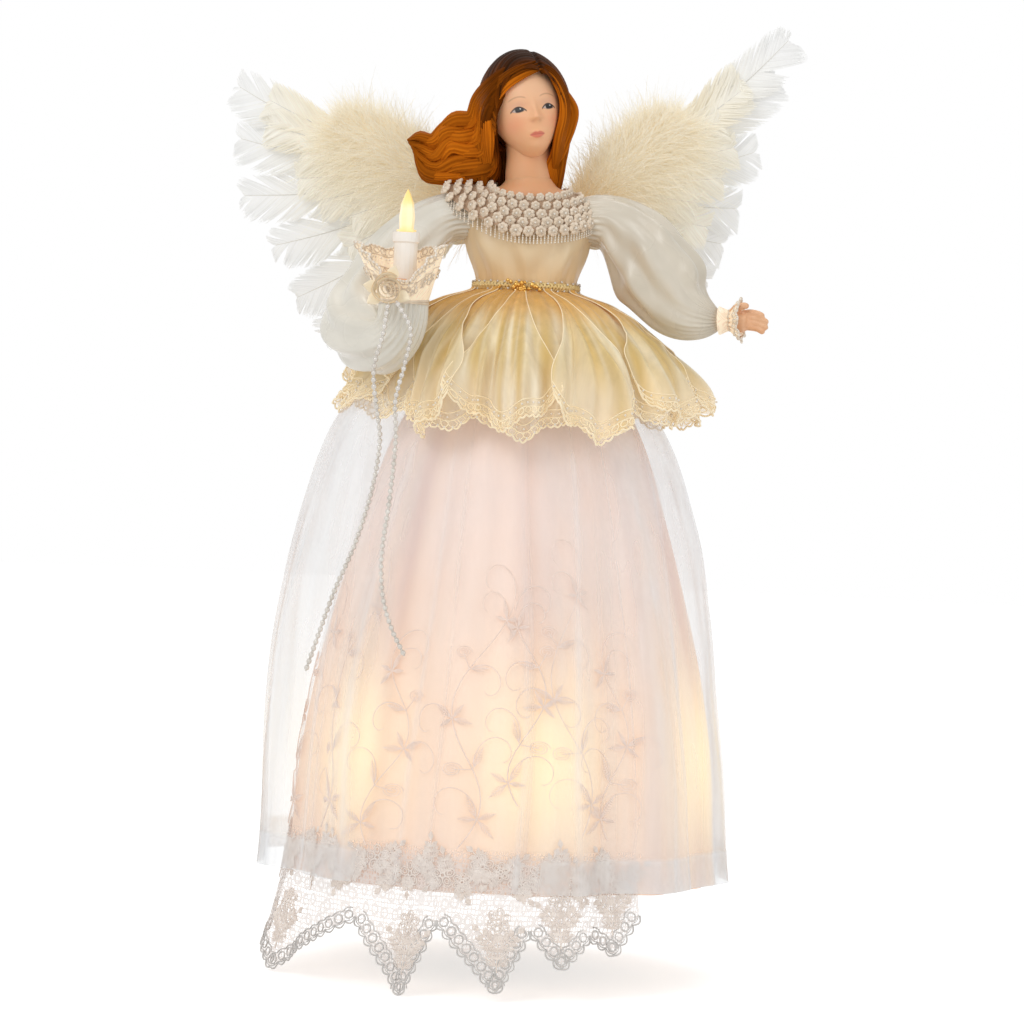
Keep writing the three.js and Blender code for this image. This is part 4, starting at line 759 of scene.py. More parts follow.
# Down and feather vanes with a faint painted glow
DOWN = downy_finish("marabou_down", 0.11)
FEATHER = downy_finish("feather_vane", 0.1)
LAMP_LIT = lamp_finish("lit_lamp", 0.5)
SKIRT_LAMP_LIT = lamp_finish("skirt_lamp", 1.0)
WHITE_PLASTIC = moulded_finish(
    "white_plastic", colour(0.95, 0.94, 0.92), colour(0.93, 0.92, 0.89), 0.4, 500.0
)
CANDLE_PLASTIC = moulded_finish(
    "candle_plastic", colour(1, 0.975, 0.94), colour(0.99, 0.955, 0.91), 0.45, 500.0
)
WIRE_COVER = moulded_finish("wire_cover", colour(0.95, 0.94, 0.91), colour(0.92, 0.91, 0.87), 0.5, 900.0)
STEEL_WIRE = moulded_finish(
    "steel_wire", colour(0.75, 0.75, 0.75), colour(0.66, 0.66, 0.67), 0.35, 900.0, Metallic=0.9
)
TORSO_PLASTIC = moulded_finish(
    "torso_plastic", colour(0.93, 0.92, 0.88), colour(0.9, 0.88, 0.83), 0.6, 700.0
)
HAND_RESIN = moulded_finish("hand_resin", colour(0.93, 0.74, 0.58), colour(0.9, 0.68, 0.51), 0.46, 900.0)
WING_CARD = moulded_finish("wing_card", colour(0.97, 0.965, 0.945), colour(0.95, 0.94, 0.915), 0.85, 1200.0)


# Camera, light and floor, in metres but for the sensor

SENSOR = 36
CAMERA_DISTANCE = 1.4
VIEW_WIDTH = 0.389
FLOOR_RADIUS = 4


def set_camera():
    camera = bpy.data.cameras.new("camera")
    camera.lens = SENSOR * CAMERA_DISTANCE / VIEW_WIDTH
    camera.clip_start = 0.01
    stand = set_up("camera", camera)
    tilt = math.radians(1)
    aim = Vector((-0.0016, 0, 0.134))
    place = aim + CAMERA_DISTANCE * Vector((0, -math.cos(tilt), math.sin(tilt)))
    lean = Matrix.Rotation(math.radians(2.5), 4, "Z")
    stand.matrix_world = Matrix.Translation(place) @ Matrix.Rotation(math.pi / 2 - tilt, 4, "X") @ lean
    bpy.context.scene.camera = stand


def seen_rays(tree):
    """Rays from the camera, and those that mirrors and glass send on"""
    path = wired(tree, "ShaderNodeLightPath")
    seen = sums(tree, "MAXIMUM", path.outputs["Is Camera Ray"], path.outputs["Is Glossy Ray"])
    return sums(tree, "MAXIMUM", seen, path.outputs["Is Transmission Ray"])


def set_light():
    scene = bpy.context.scene
    scene.view_settings.view_transform = "Standard"
    world = bpy.data.worlds.new("studio")
    world.use_nodes = True
    tree = world.node_tree
    backdrop = tree.nodes["Background"]
    backdrop.inputs["Color"].default_value = opaque(WHITE)
    fed(tree, backdrop, Strength=ranged(tree, seen_rays(tree), 0.62, 1.0))
    scene.world = world
    for name, place, size, power in (
        ("key", (-0.9, -1.3, 1.3), 0.9, 9.5),
        ("fill", (1.3, -1.0, 0.5), 1.0, 3),
        ("top", (0.1, 0.5, 1.6), 0.8, 3.4),
    ):
        lamp = bpy.data.lights.new(name, "AREA")
        lamp.size = size
        lamp.energy = power
        stand = set_up(name, lamp)
        stand.location = place
        stand.rotation_euler = (Vector((0, 0, 0.15)) - Vector(place)).to_track_quat("-Z", "Y").to_euler()


def set_floor():
    mesh = bpy.data.meshes.new("floor")
    low = CAD_BOX[0][2] - 0.0006
    angle = np.linspace(0, TURN, 96, endpoint=False)
    rim = [(FLOOR_RADIUS * math.cos(a), FLOOR_RADIUS * math.sin(a), low) for a in angle]
    mesh.from_pydata(rim, [], [list(range(96))])
    floor = set_up("floor", mesh)
    finish = bpy.data.materials.new("pale_floor")
    finish.use_nodes = True
    tree = finish.node_tree
    tree.nodes.remove(tree.nodes["Principled BSDF"])
    matt = wired(tree, "ShaderNodeBsdfDiffuse", {"Color": (0.85, 0.85, 0.85, 1)})
    strength = sums(tree, "MULTIPLY", seen_rays(tree), 0.54)
    lift = wired(tree, "ShaderNodeEmission", {"Color": opaque(WHITE), "Strength": strength})
    both = wired(tree, "ShaderNodeAddShader", {0: matt.outputs[0], 1: lift.outputs[0]})
    fed(tree, tree.nodes["Material Output"], Surface=both.outputs[0])
    mesh.materials.append(finish)


set_camera()
set_light()
set_floor()


# Pearl strands


def pearl_strand(name, route, node):
    line = spline(ROSE + np.array(route), 600)
    count = round(length_of(line) / PEARL_PITCH)
    places = evenly(line, 2 * count + 1)
    along = unit(np.gradient(places, axis=0))
    shape = Shape()
    shape.thread(evenly(line, 4 * count), 0.3, 6)
    shape.beads(places[1::2], PEARL_RADIUS, along=along[1::2], stretch=1.12, columns=12, rows=8)
    shape.beads(places[2:-1:2], 0.5, along=along[2:-1:2], stretch=0.8, columns=8, rows=6)
    strand = made(name, shape, PEARL, "candle_arm", [node])


pearl_strand("outer_pearls", OUTER_STRAND, "outer_pearl_strand")
pearl_strand("inner_pearls", INNER_STRAND, "inner_pearl_strand")


# Skirts: each layer is a radius by angle and height that clears the layer inside it

standoff = profile(SKIRT_STANDOFF)
left_billow = profile(LEFT_BILLOW)
right_billow = profile(RIGHT_BILLOW)
torso_width = profile(TORSO_WIDTH)
torso_depth = profile(TORSO_DEPTH)
peplum_standoff = profile(PEPLUM_STANDOFF)


def fold(angle):
    return 0.5 - 0.5 * np.cos(SKIRT_FOLDS * angle)


def drawn_folds(angle, z):
    """Smaller folds that all the layers share, so that none cuts through another"""
    sway = 0.25 * np.sin(z / 31 + 3 * angle)
    small = 0.75 * np.sin(7 * angle + 1.1 + sway) + 0.7 * np.sin(19 * angle + 0.4 + 1.5 * sway)
    return ease(1.05 - z / CONE_HEIGHT) * (small + 0.4 * np.sin(33 * angle + 2 + sway))


def pleats(angle, z, count, width, start):
    """Where the cloth lies double along narrow folds that run down it at uneven places; on the lining the
    same kind of folds carry painted shade and painted light
    """
    lie = np.zeros_like(angle * z)
    for k in range(count):
        middle = TURN * (k + 0.33 * math.sin(2.1 * k + start)) / count
        wander = 0.03 * np.sin(z / 37 + 1.7 * k)
        beat = TURN * np.round((angle - middle - wander) / TURN)
        across = angle - middle - wander - beat
        share = 0.55 + 0.45 * math.sin(3.7 * k + start)
        lie = lie + share * bell(across, width) * ease(1.25 - z / (CONE_HEIGHT * (0.75 + 0.25 * share)))
    return np.clip(lie, 0, 1)


def lining_radius(angle, z):
    cone = CONE_RADIUS - CONE_TAPER * z / CONE_HEIGHT
    hang = ease(1 - z / CONE_HEIGHT)
    folds = LINING_FOLD * hang * fold(angle)
    return cone + standoff(z / CONE_HEIGHT) + folds + CLOTH + drawn_folds(angle, z)


def apron_radius(angle, z):
    return lining_radius(angle, z) + LAYER


def overskirt_radius(angle, z):
    share = np.clip(z / CONE_HEIGHT, 0, 1)
    left = left_billow(share) * bell(apart(angle, -100), 0.75)
    right = right_billow(share) * bell(apart(angle, 85), 0.75)
    hang = ease(1 - z / CONE_HEIGHT)
    at_sides = bell(apart(angle, -100), 0.9) + bell(apart(angle, 95), 0.9)
    own = 0.5 * np.sin(23 * angle + z / 40) * hang * at_sides
    return apron_radius(angle, z) + LAYER + left + right + hang * (1 + 2 * fold(angle)) + own


def apron_hem(angle):
    columns, drops = np.array(APRON_HEM, float).T
    return -np.interp(angle * HEM_COLUMNS / TURN, columns, drops)


def on_apron(across, z, lift):
    """A place on the apron from millimetres across its front at the hem"""
    angle = np.asarray(across, float) / APRON_RADIUS
    z = np.asarray(z, float)
    return around(apron_radius(angle, z) + lift, angle, z)


def lining_skirt():
    angle, z = laid_out((-math.pi, math.pi, 433), (SKIRT_TOP, LINING_HEM, 120))
    grid = around(lining_radius(angle, z), angle, z)
    beside = 13 * np.sin(LAMPS / 2 * (angle - math.radians(LAMP_TURN))) / 10
    lamps = np.exp(-(beside**2) - ((z - LAMP_HEIGHT) / 45) ** 2)
    # Painted shade along some folds, fainter round the lamps, and a faint painted light along others
    shade = (pleats(angle, z, 17, 0.07, 2.2) * (1 - 0.7 * lamps))[..., None]
    light = pleats(angle, z, 14, 0.05, 2.3)[..., None]
    paint = 1 - shade * (1 - dye(0.93, 0.895, 0.905))
    paint = paint * (1 - light * (1 - dye(1, 0.985, 0.95)))
    cloth("lining_skirt", grid, LINING_SATIN, "figure", ["lining"], paint)


def overskirt():
    angle, share = laid_out((-math.pi, math.pi, 481), (0, 1, 130))
    z = SKIRT_TOP + (OVERSKIRT_HEM - SKIRT_TOP) * share
    grid = around(overskirt_radius(angle, z), angle, z)
    front = bell(apart(angle, -12), 0.62)
    hem = ease((10.5 - z) / 0.8)
    cover = (0.24 + 0.16 * fold(angle)) * (1 - 0.82 * front) + 0.25 * hem * (1 - 0.8 * front)
    cover = cover + 0.34 * pleats(angle, z, 31, 0.016, 1.1) * (1 - 0.55 * front)
    cover = cover + 0.3 * bell(z - 10.5, 0.5) * (1 - 0.85 * front)
    cloth(
        "sheer_overskirt", grid, OVERSKIRT_ORGANZA, "figure", ["overskirt"],
        grey(np.clip(cover, 0.02, 0.9)),
    )


def stitched(shape, line, lift, thick=0.24):
    shape.thread(on_apron(line[:, 0], line[:, 1], lift), thick, 4)


def ring(middle, wide, high, turns=1.0, shrink=0.0):
    """A ring on the flat, or a flat spiral where it shrinks over more turns"""
    turn = np.linspace(0, TURN * turns, int(18 * turns) + 1)
    size = 1 - shrink * turn / turn[-1]
    return middle + np.stack([wide * size * np.cos(turn), high * size * np.sin(turn)], 1)


def heading(angle):
    return np.array([math.cos(angle), math.sin(angle)])


def lace_edge(shape, line, lift):
    """A scalloped cord, a chain of rings and a second cord along one side of a point of the hem"""
    count = max(round(length_of(line) / 4.1), 2)
    places = evenly(line, 8 * count + 1)
    along = unit(np.gradient(places, axis=0))
    inward = np.stack([-along[:, 1], along[:, 0]], 1)
    beat = np.abs(np.sin(math.pi * np.arange(8 * count + 1) / 8))[:, None]
    stitched(shape, places - inward * 1.3 * beat, lift, 0.34)
    stitched(shape, places + inward * (0.5 - 0.7 * beat), lift, 0.22)
    stitched(shape, places + inward * (3.9 + 0.7 * beat), lift, 0.26)
    for k in range(4, 8 * count, 8):
        stitched(shape, ring(places[k] + 2.1 * inward[k], 1.5, 1.5), lift, 0.28)


def leaf(shape, root, way, long, wide, lift):
    """A slim leaf in slanting stitches from its rib"""
    side = np.array([-way[1], way[0]])
    stitched(shape, root + np.outer(np.linspace(0, long, 8), way), lift, 0.15)
    for share in np.linspace(0.08, 0.94, 9):
        start = root + way * long * share
        for half in (-1, 1):
            end = start + half * side * wide * math.sin(math.pi * share**0.8) + way * 0.2 * long * (1 - share)
            stitched(shape, np.linspace(start, end, 3), lift, 0.15)


def spray(shape, root, way, long, lift, leaf_long):
    """A short stem with pairs of leaves, smaller towards its end"""
    stitched(shape, root + np.outer(np.linspace(0, long, 8), way), lift, 0.26)
    toward = math.atan2(way[1], way[0])
    for share in np.arange(0.2, 0.95, 0.25):
        for hand in (-1, 1):
            size = leaf_long * (1.1 - 0.45 * share)
            leaf(shape, root + way * long * share, heading(toward + hand * 0.9), size, 0.27 * size, lift)
    leaf(shape, root + way * long, way, 0.8 * leaf_long, 0.24 * leaf_long, lift)


def rosette(shape, middle, size, petals, lift):
    for k in range(petals):
        way = heading(TURN * k / petals + 0.4)
        side = np.array([-way[1], way[0]])
        turn = np.linspace(0, TURN, 16)
        for grow in (1.0, 0.5):
            loop = middle + np.outer(size * (0.62 + 0.42 * grow * np.cos(turn)), way)
            stitched(shape, loop + np.outer(0.32 * size * grow * np.sin(turn), side), lift)
    stitched(shape, ring(middle, 0.2 * size, 0.2 * size), lift, 0.34)


def tendril(shape, root, angle, size, hand, lift):
    turn = np.linspace(0, 1, 26)
    bend = angle + hand * 4.6 * turn**1.2
    steps = size * (1.1 - 0.75 * turn)[:, None] * np.stack([np.cos(bend), np.sin(bend)], 1) / 9
    stitched(shape, root + np.cumsum(steps, 0), lift, np.linspace(0.19, 0.13, 26))


def vine(shape, foot, top, sway, lift):
    """A climbing stem with slim leaves, coiled oval flowers and curling tendrils"""
    climb = np.linspace(0, 1, 60)
    across = foot[0] + (top[0] - foot[0]) * climb + sway * np.sin(TURN * 1.15 * climb + 0.4)
    line = np.stack([across, foot[1] + (top[1] - foot[1]) * climb], 1)
    stitched(shape, line, lift, np.linspace(0.24, 0.16, 60))
    along = unit(np.gradient(line, axis=0))
    for k, step in enumerate(range(7, 58, 12)):
        hand = 1 if (k % 2) == (sway > 0) else -1
        toward = math.atan2(along[step][1], along[step][0])
        size = 10 - 3 * step / 60
        if k % 2:
            leaf(shape, line[step], heading(toward - hand * 0.9), size, 0.16 * size, lift)
            bud = line[step] + 0.85 * size * heading(toward + hand * 1.1)
            stitched(shape, np.linspace(line[step], bud, 4), lift, 0.17)
            stitched(shape, ring(bud, 0.46 * size, 0.28 * size, 2.4, 0.7), lift, 0.15)
        else:
            for swing, long in ((-1.9, 0.7), (-0.8, 1.0), (0.9, 0.8), (2.0, 0.95)):
                leaf(shape, line[step], heading(toward + hand * swing), long * size, 0.15 * long * size, lift)
        tendril(shape, line[step], toward - hand * 0.5, 1.6 * size, -hand, lift)
    tendril(shape, line[-1], math.radians(80), 15, 1 if sway > 0 else -1, lift)


def hem_lace():
    """The pointed hem: chain edges, a stem with leaves in each point, and a thick band of flowers above"""
    shape, edge = Shape(), Shape()
    columns, drops = np.array(APRON_HEM, float).T
    line = np.stack([APRON_RADIUS * TURN * columns / HEM_COLUMNS, -drops], 1)
    for start, end in zip(line, line[1:]):
        lace_edge(edge, np.array([start, end]), 0.25)
    for across, low in line[1::2]:
        spray(shape, np.array([across, low + 7]), heading(math.pi / 2), 10, 0.4, 5.5)
        rosette(shape, np.array([across, low + 25]), 4.4, 6, 0.4)
        for hand in (-1, 1):
            spray(shape, np.array([across, low + 15]), heading(math.pi / 2 - hand * 0.85), 9, 0.45, 4.5)
    for k, across in enumerate(np.arange(-126, 50, 7.0)):
        height = 5 + 3.5 * math.sin(1.9 * k)
        rosette(shape, np.array([across, height]), 3.8 + 0.7 * math.sin(3 * k), 6 - k % 2, 0.45)
        upward = heading(math.pi / 2 + 0.9 * math.sin(2.7 * k))
        spray(shape, np.array([across + 2, height]), upward, 7.5, 0.4, 4.4)
        downward = heading(-math.pi / 2 + 0.8 * math.cos(2.3 * k))
        spray(shape, np.array([across - 1, height]), downward, 6, 0.4, 4.2)
    return [("hem_lace", shape, LACE_THREAD, "lace"), ("hem_edge", edge, LACE_CORD, "lace")]


def embroidery():
    shape = Shape()
    for foot, top, sway in (
        ((-116, 14), (-104, 92), 7),
        ((-84, 16), (-72, 104), 8),
        ((-52, 12), (-46, 80), -7),
        ((-20, 14), (-8, 102), 9),
        ((8, 30), (8, 98), -7),
        ((27, 20), (24, 112), 8),
        ((45, 18), (47, 82), -6),
    ):
        vine(shape, np.array(foot, float), np.array(top, float), sway, 0.4)
    return ("embroidery", shape, EMBROIDERY, "lace")


def apron():
    first, last = np.radians(APRON_EDGES)
    angle, share = laid_out((first, last, 340), (0, 1, 150))
    z = SKIRT_TOP + (apron_hem(angle) - SKIRT_TOP) * share
    grid = around(apron_radius(angle, z), angle, z)
    lace_ground = ease((17 - z) / 9) * ease((z + 22) / 20) + 0.95 * ease((10 - z) / 10)
    cover = 0.1 + 0.06 * fold(angle) + 0.12 * ease((15 - z) / 9) * ease((z + 14) / 12)
    cover = cover + 0.22 * pleats(angle, z, 19, 0.055, 0.2) + 0.2 * pleats(angle, z, 23, 0.012, 1.6)
    cover = cover * (0.6 + 0.4 * ease((z + 12) / 8))
    cover = cover + 0.3 * bell(np.minimum(angle - first, last - angle), 0.012)
    paint = np.stack([cover, np.clip(lace_ground, 0, 1), cover], -1)
    cloth(
        "apron_panel", grid, APRON_ORGANZA, "figure", ["apron"], paint,
        trims=[*hem_lace(), embroidery()],
    )


lining_skirt()
apron()
overskirt()


# Waist: peplum and braid


def bodice_radius(angle, rise):
    wide, deep = torso_width(rise) + LAYER, torso_depth(rise) + LAYER
    return 1 / np.hypot(np.sin(angle) / wide, np.cos(angle) / deep)


def peplum_hem(angle):
    length = -34 - 9 * np.cos(angle) ** 2
    return length - 3 * np.cos(SKIRT_FOLDS * angle) - 1.1 * np.sin(29 * angle + 1)


def strayed(angle, rise):
    """The angle with its folds unevenly spaced"""
    return angle + 0.07 * np.sin(3 * angle + 1) + 0.04 * np.sin(7 * angle + 2 + rise / 30)


def pinched(angle, rise):
    return 1 - np.abs(np.sin(11 * strayed(angle, rise) + 0.5 * np.sin(rise / 14))) ** 0.7


def peplum_radius(angle, rise):
    z = WAIST + rise
    under = np.where(z > 206, 0, overskirt_radius(angle, z) + 1.2)
    loose = ease((4 - rise) / 36)
    dent = 16 * bell(apart(angle, -62), 0.38)
    folds = 7 * (0.5 + 0.5 * np.cos(SKIRT_FOLDS * angle + 0.25 * np.sin(rise / 9)))
    stray = strayed(angle, rise)
    ruffle = 5.2 * pinched(angle, rise) + 1.7 * np.sin(31 * stray + rise / 12)
    ruffle = ruffle + 0.9 * np.sin(53 * stray + 1 - rise / 20)
    gather = 0.9 * np.cos(48 * stray) * bell(rise - 3, 7)
    own = bodice_radius(angle, np.maximum(rise, 0)) + peplum_standoff(rise)
    own = own + loose * (folds + ruffle - dent) + gather
    return np.maximum(under, own) + 0.5


def peplum_paint(angle, rise):
    """Golden at the waist, a painted shade of the gathers; cream in the folds, with painted shade in their
    hollows and painted highlights on their crests; pale at the hem, a painted light where the skirt glows
    through
    """
    gold, cream, pale = dye(0.91, 0.69, 0.33), dye(0.915, 0.82, 0.6), dye(0.985, 0.92, 0.8)
    deep = ease((rise + 8) / 16)[..., None]
    low = ease((-rise - 14) / 20)[..., None]
    paint = cream * (1 - deep) * (1 - low) + gold * deep + pale * low * (1 - deep)
    stray = strayed(angle, rise)
    # Painted shade: darker in bands round the small ridges, and darker in the fold hollows towards the hem
    ridge = 0.95 + 0.05 * np.cos(31 * stray + rise / 12) - 0.12 * (1 - pinched(angle, rise)) * low[..., 0]
    wave = 0.5 + 0.5 * np.sin(27 * stray + 1.9 * np.sin(5 * stray) + rise / 22)
    fine = 0.5 + 0.5 * np.sin(71 * stray + 2.3 * np.sin(9 * stray) - rise / 15)
    loose = ease((6 - rise) / 14)
    # Painted shade in the fold hollows, and painted highlights on the crests
    valley_shade = (loose * (0.75 * wave**3 + 0.35 * fine**4))[..., None]
    crest = (loose * (0.5 * (1 - wave) ** 4 + 0.3 * (1 - fine) ** 5))[..., None]
    paint = paint * ridge[..., None] * (1 - valley_shade * np.array([0.1, 0.19, 0.42]))
    return paint + crest * (dye(1, 0.96, 0.86) - paint)


def flounce_trims(name, lace, beads):
    return [
        (f"{name}_lace", lace, CREAM_THREAD, "cream_organza"),
        (f"{name}_beads", beads, SEED_PEARL, "cream_organza"),
    ]


def peplum():
    angle, share = laid_out((-math.pi, math.pi, 721), (0, 1, 64))
    rise = PEPLUM_TOP + (peplum_hem(angle) - PEPLUM_TOP) * share

    def place(angle, rise, lift):
        return around(peplum_radius(angle, rise) + lift, angle, WAIST + rise)

    edge, seeds = Shape(), Shape()
    turns = np.linspace(-math.pi, math.pi, 1400)
    for lift, thick in ((0, 0.4), (2.6, 0.22), (5.4, 0.22)):
        scallop = 1.0 * np.abs(np.sin(75 * turns)) if lift == 0 else 0
        edge.thread(place(turns, peplum_hem(turns) + lift - scallop, 0.3), thick, 5)
    size = 1.15
    for middle in np.linspace(-math.pi, math.pi, 150, endpoint=False):
        spread = middle + size * np.cos(CIRCLE) / 55
        edge.thread(place(spread, peplum_hem(middle) + 1.4 + size * np.sin(CIRCLE), 0.35), 0.22, 4)
    turns = np.linspace(-math.pi, math.pi, 300, endpoint=False)
    bead_rise = peplum_hem(turns) + np.where(np.arange(300) % 2, 4.0, 0.2)
    seeds.beads(place(turns, bead_rise, 0.6), 0.45, columns=6, rows=4)
    cloth(
        "gathered_peplum", place(angle, rise, 0), PEPLUM_ORGANZA, "figure", ["peplum"],
        peplum_paint(angle, rise),
        flounce_trims("peplum", edge, seeds),
    )


def peplum_tail(number, middle, half, drop):
    """One loose flounce over the peplum, narrow at the waist, with a rolled edge and a lace hem"""
    across, share = laid_out((-1, 1, 91), (0, 1, 60))
    top = 10.3

    def spot(across, share):
        spread = (0.3 + 0.7 * ease(share * 1.25)) * (1 + 0.08 * np.sin(7 * share + number))
        angle = math.radians(middle) + math.radians(half) * across * spread
        fall = drop * (1 - 0.3 * np.abs(across) ** 1.6 + 0.04 * np.cos(9 * across))
        return angle, top - (top + fall) * share

    def place(across, share, lift):
        angle, rise = spot(across, share)
        beat = np.cos(8.5 * across + 0.8 * np.sin(3 * across) + number)
        beat = beat + 0.5 * np.cos(17 * across + 2 * number)
        flute = (1.9 + 1.7 * beat) * ease(share * 1.5)
        curl = 1.2 * np.abs(across) ** 4 * ease(share * 1.2)
        return around(peplum_radius(angle, rise) + 1.1 + flute + curl + lift, angle, WAIST + rise)

    edge, seeds = Shape(), Shape()
    for hand in (-1.0, 1.0):
        edge.thread(place(np.full(60, hand), np.linspace(1, 0, 60), 0), 0.18, 5)
    hem = np.linspace(-1, 1, 160)
    edge.thread(place(hem, 1 + 0.02 * np.abs(np.sin(10 * math.pi * hem)), 0.2), 0.4, 5)
    for low in (0.94, 0.88):
        edge.thread(place(hem, np.full(160, low), 0.2), 0.22, 4)
    for beside in np.linspace(-0.95, 0.95, 19):
        edge.thread(place(beside + 0.042 * np.cos(CIRCLE), 0.965 + 0.022 * np.sin(CIRCLE), 0.3), 0.24, 4)
    seeds.beads(place(np.linspace(-0.97, 0.97, 22), np.full(22, 0.91), 0.5), 0.45, columns=6, rows=4)
    paint = peplum_paint(*spot(across, share)) * (1.03 + 0.05 * np.cos(11 * across))[..., None]
    cloth(
        f"peplum_tail_{number}", place(across, share, 0), PEPLUM_ORGANZA, "figure", [],
        paint, flounce_trims(f"tail_{number}", edge, seeds),
    )


def waist_braid():
    cords, shape = Shape(), Shape()
    angle = np.linspace(-math.pi, math.pi, 900)
    for strand in range(3):
        wave = 26 * angle + TURN * strand / 3
        rise = 11 + 1.2 * np.sin(wave)
        out = 0.9 + 0.5 * np.cos(wave * 2)
        cords.thread(around(bodice_radius(angle, rise) + out, angle, WAIST + rise), 0.45, 5)
    places = np.linspace(-math.pi, math.pi, 78, endpoint=False)
    rise = 11 + 1.5 * np.where(np.arange(78) % 2, 1, -1) + chance.normal(0, 0.25, 78)
    seeds = Shape()
    seeds.beads(around(bodice_radius(places, rise) + 1.3, places, WAIST + rise), 0.5)
    made("waist_pearls", seeds, PEARL, "figure")
    knot = chance.normal(0, 1, (46, 3)) * [4.2, 0.5, 1.7] + [-1, 0, WAIST + 10]
    across = np.arcsin(np.clip(knot[:, 0] / 18, -1, 1))
    out = bodice_radius(across, 10.0) + 2.2 + np.abs(knot[:, 1])
    shape.beads(around(out, across, knot[:, 2]), chance.uniform(0.5, 0.95, 46))
    made("waist_cords", cords, BRAID_THREAD, "figure", ["waist_braid"])
    made("waist_beads", shape, GOLD, "figure")


peplum()
for number, (middle, half, drop) in enumerate(PEPLUM_TAILS, 1):
    peplum_tail(number, middle, half, drop)
waist_braid()


# Bodice and collar


def bodice():
    angle, rise = laid_out((-math.pi, math.pi, 181), (44.2, 1, 60))
    drape = 0.8 * np.sin(9 * np.abs(angle) - rise / 4.5) * bell(rise - 22, 13) * bell(angle, 1.6)
    drape = drape + 0.3 * np.cos(44 * angle) * bell(rise - 6, 8)
    drape = drape + 0.25 * np.sin(17 * angle + rise / 9) * bell(rise - 20, 15)
    x = (torso_width(rise) + LAYER + drape) * np.sin(angle)
    y = -(torso_depth(rise) + LAYER + drape) * np.cos(angle)
    grid = np.stack([x, y, WAIST + rise], -1)
    # Painted shade, deeper and more orange towards the waist
    painted_warm_light_and_shade = (ease((24 - rise) / 16) * 0.55)[..., None]
    paint = 1 - painted_warm_light_and_shade * (1 - dye(0.99, 0.87, 0.66))
    cloth(
        "satin_bodice", grid, BODICE_SATIN, "figure", ["bodice"], paint
    )


def collar_point(angle, share, lift):
    """A place on the collar from its top edge to its hem, the candle side reaching over the shoulder"""
    front = np.maximum(np.cos(angle), 0)
    reach = np.maximum(-np.sin(angle), 0) ** 3
    dip = 3.4 * front**2
    rise = 48.2 - dip - (7 + 10 * front - dip) * share * (1 - reach)
    grow = 2 + lift + 2 * front * share**2
    x = (torso_width(rise) + grow) * np.sin(angle) - 16 * reach * share
    y = -(torso_depth(rise) + grow) * np.cos(angle)
    return np.stack(np.broadcast_arrays(x, y, WAIST + rise + (lift + 0.9) * reach), -1)


def collar():
    net, yarn, beads = Shape(), Shape(), Shape()
    net.grid(collar_point(*laid_out((-math.pi, math.pi, 97), (0, 1, 10)), 0.2), False)
    loop = np.linspace(0, TURN, 11)
    for row, (share, count, size) in enumerate(
        ((0.03, 36, 1.55), (0.27, 36, 1.75), (0.52, 36, 1.9), (0.76, 38, 2.0), (1.0, 38, 2.1))
    ):
        turns = TURN * (np.arange(count) + 0.5 * (row % 2)) / count
        middle = collar_point(turns, share, 0.9)
        outward = unit(collar_point(turns, share, 1.9) - middle)
        tilt = unit(np.cross(outward, [0, 0, 1.0]))
        other = np.cross(outward, tilt)
        for i in range(count):
            bloom = size * chance.uniform(0.92, 1.12)
            petals = TURN * np.arange(6) / 6 + chance.uniform(0, 1)
            yarn.beads(
                middle[i] + 0.62 * bloom * turned(petals, tilt[i], other[i]), 0.5 * bloom,
                along=np.repeat(outward[i][None], 6, 0), stretch=0.7, columns=8, rows=6,
            )
            for turn in (0.35, 0.62):
                line = turn * bloom * turned(loop, tilt[i], other[i])
                yarn.thread(middle[i] + line + 0.32 * bloom * outward[i], 0.22, 4)
            beads.beads(middle[i] + 0.42 * bloom * outward[i], 0.24 * bloom)
    for turn in np.radians(np.linspace(-64, 64, 46)):
        drop = collar_point(turn, 1.0, 0.5) + np.outer(np.linspace(0, 4.4, 6), [0, 0, -1])
        yarn.thread(drop, 0.2, 4)
        beads.beads(drop[2:], 0.36)
    # The dark net is a painted shade between the florets
    made("collar_net_painted_shade", net, COLLAR_NET_PAINTED_SHADE, "figure")
    made("floret_collar", yarn, FLORET_YARN, "figure", ["collar"])
    made("collar_beads", beads, SEED_PEARL, "figure")


bodice()
collar()


# Bust and hair


def on_head(points):
    """From the head's own frame to the figure's"""
    yaw, lean = math.radians(HEAD_YAW), math.radians(HEAD_LEAN)
    x, y, z = np.moveaxis(np.asarray(points, float), -1, 0)
    x, y = x * math.cos(yaw) - y * math.sin(yaw), x * math.sin(yaw) + y * math.cos(yaw)
    x, z = x * math.cos(lean) - z * math.sin(lean), x * math.sin(lean) + z * math.cos(lean)
    return np.stack([x, y, z], -1) + HEAD


nose_ridge = profile(
    [[-0.43, 0], [-0.36, 0.3], [-0.3, 1], [-0.19, 0.66], [-0.07, 0.34], [0.06, 0.12], [0.24, 0]]
)


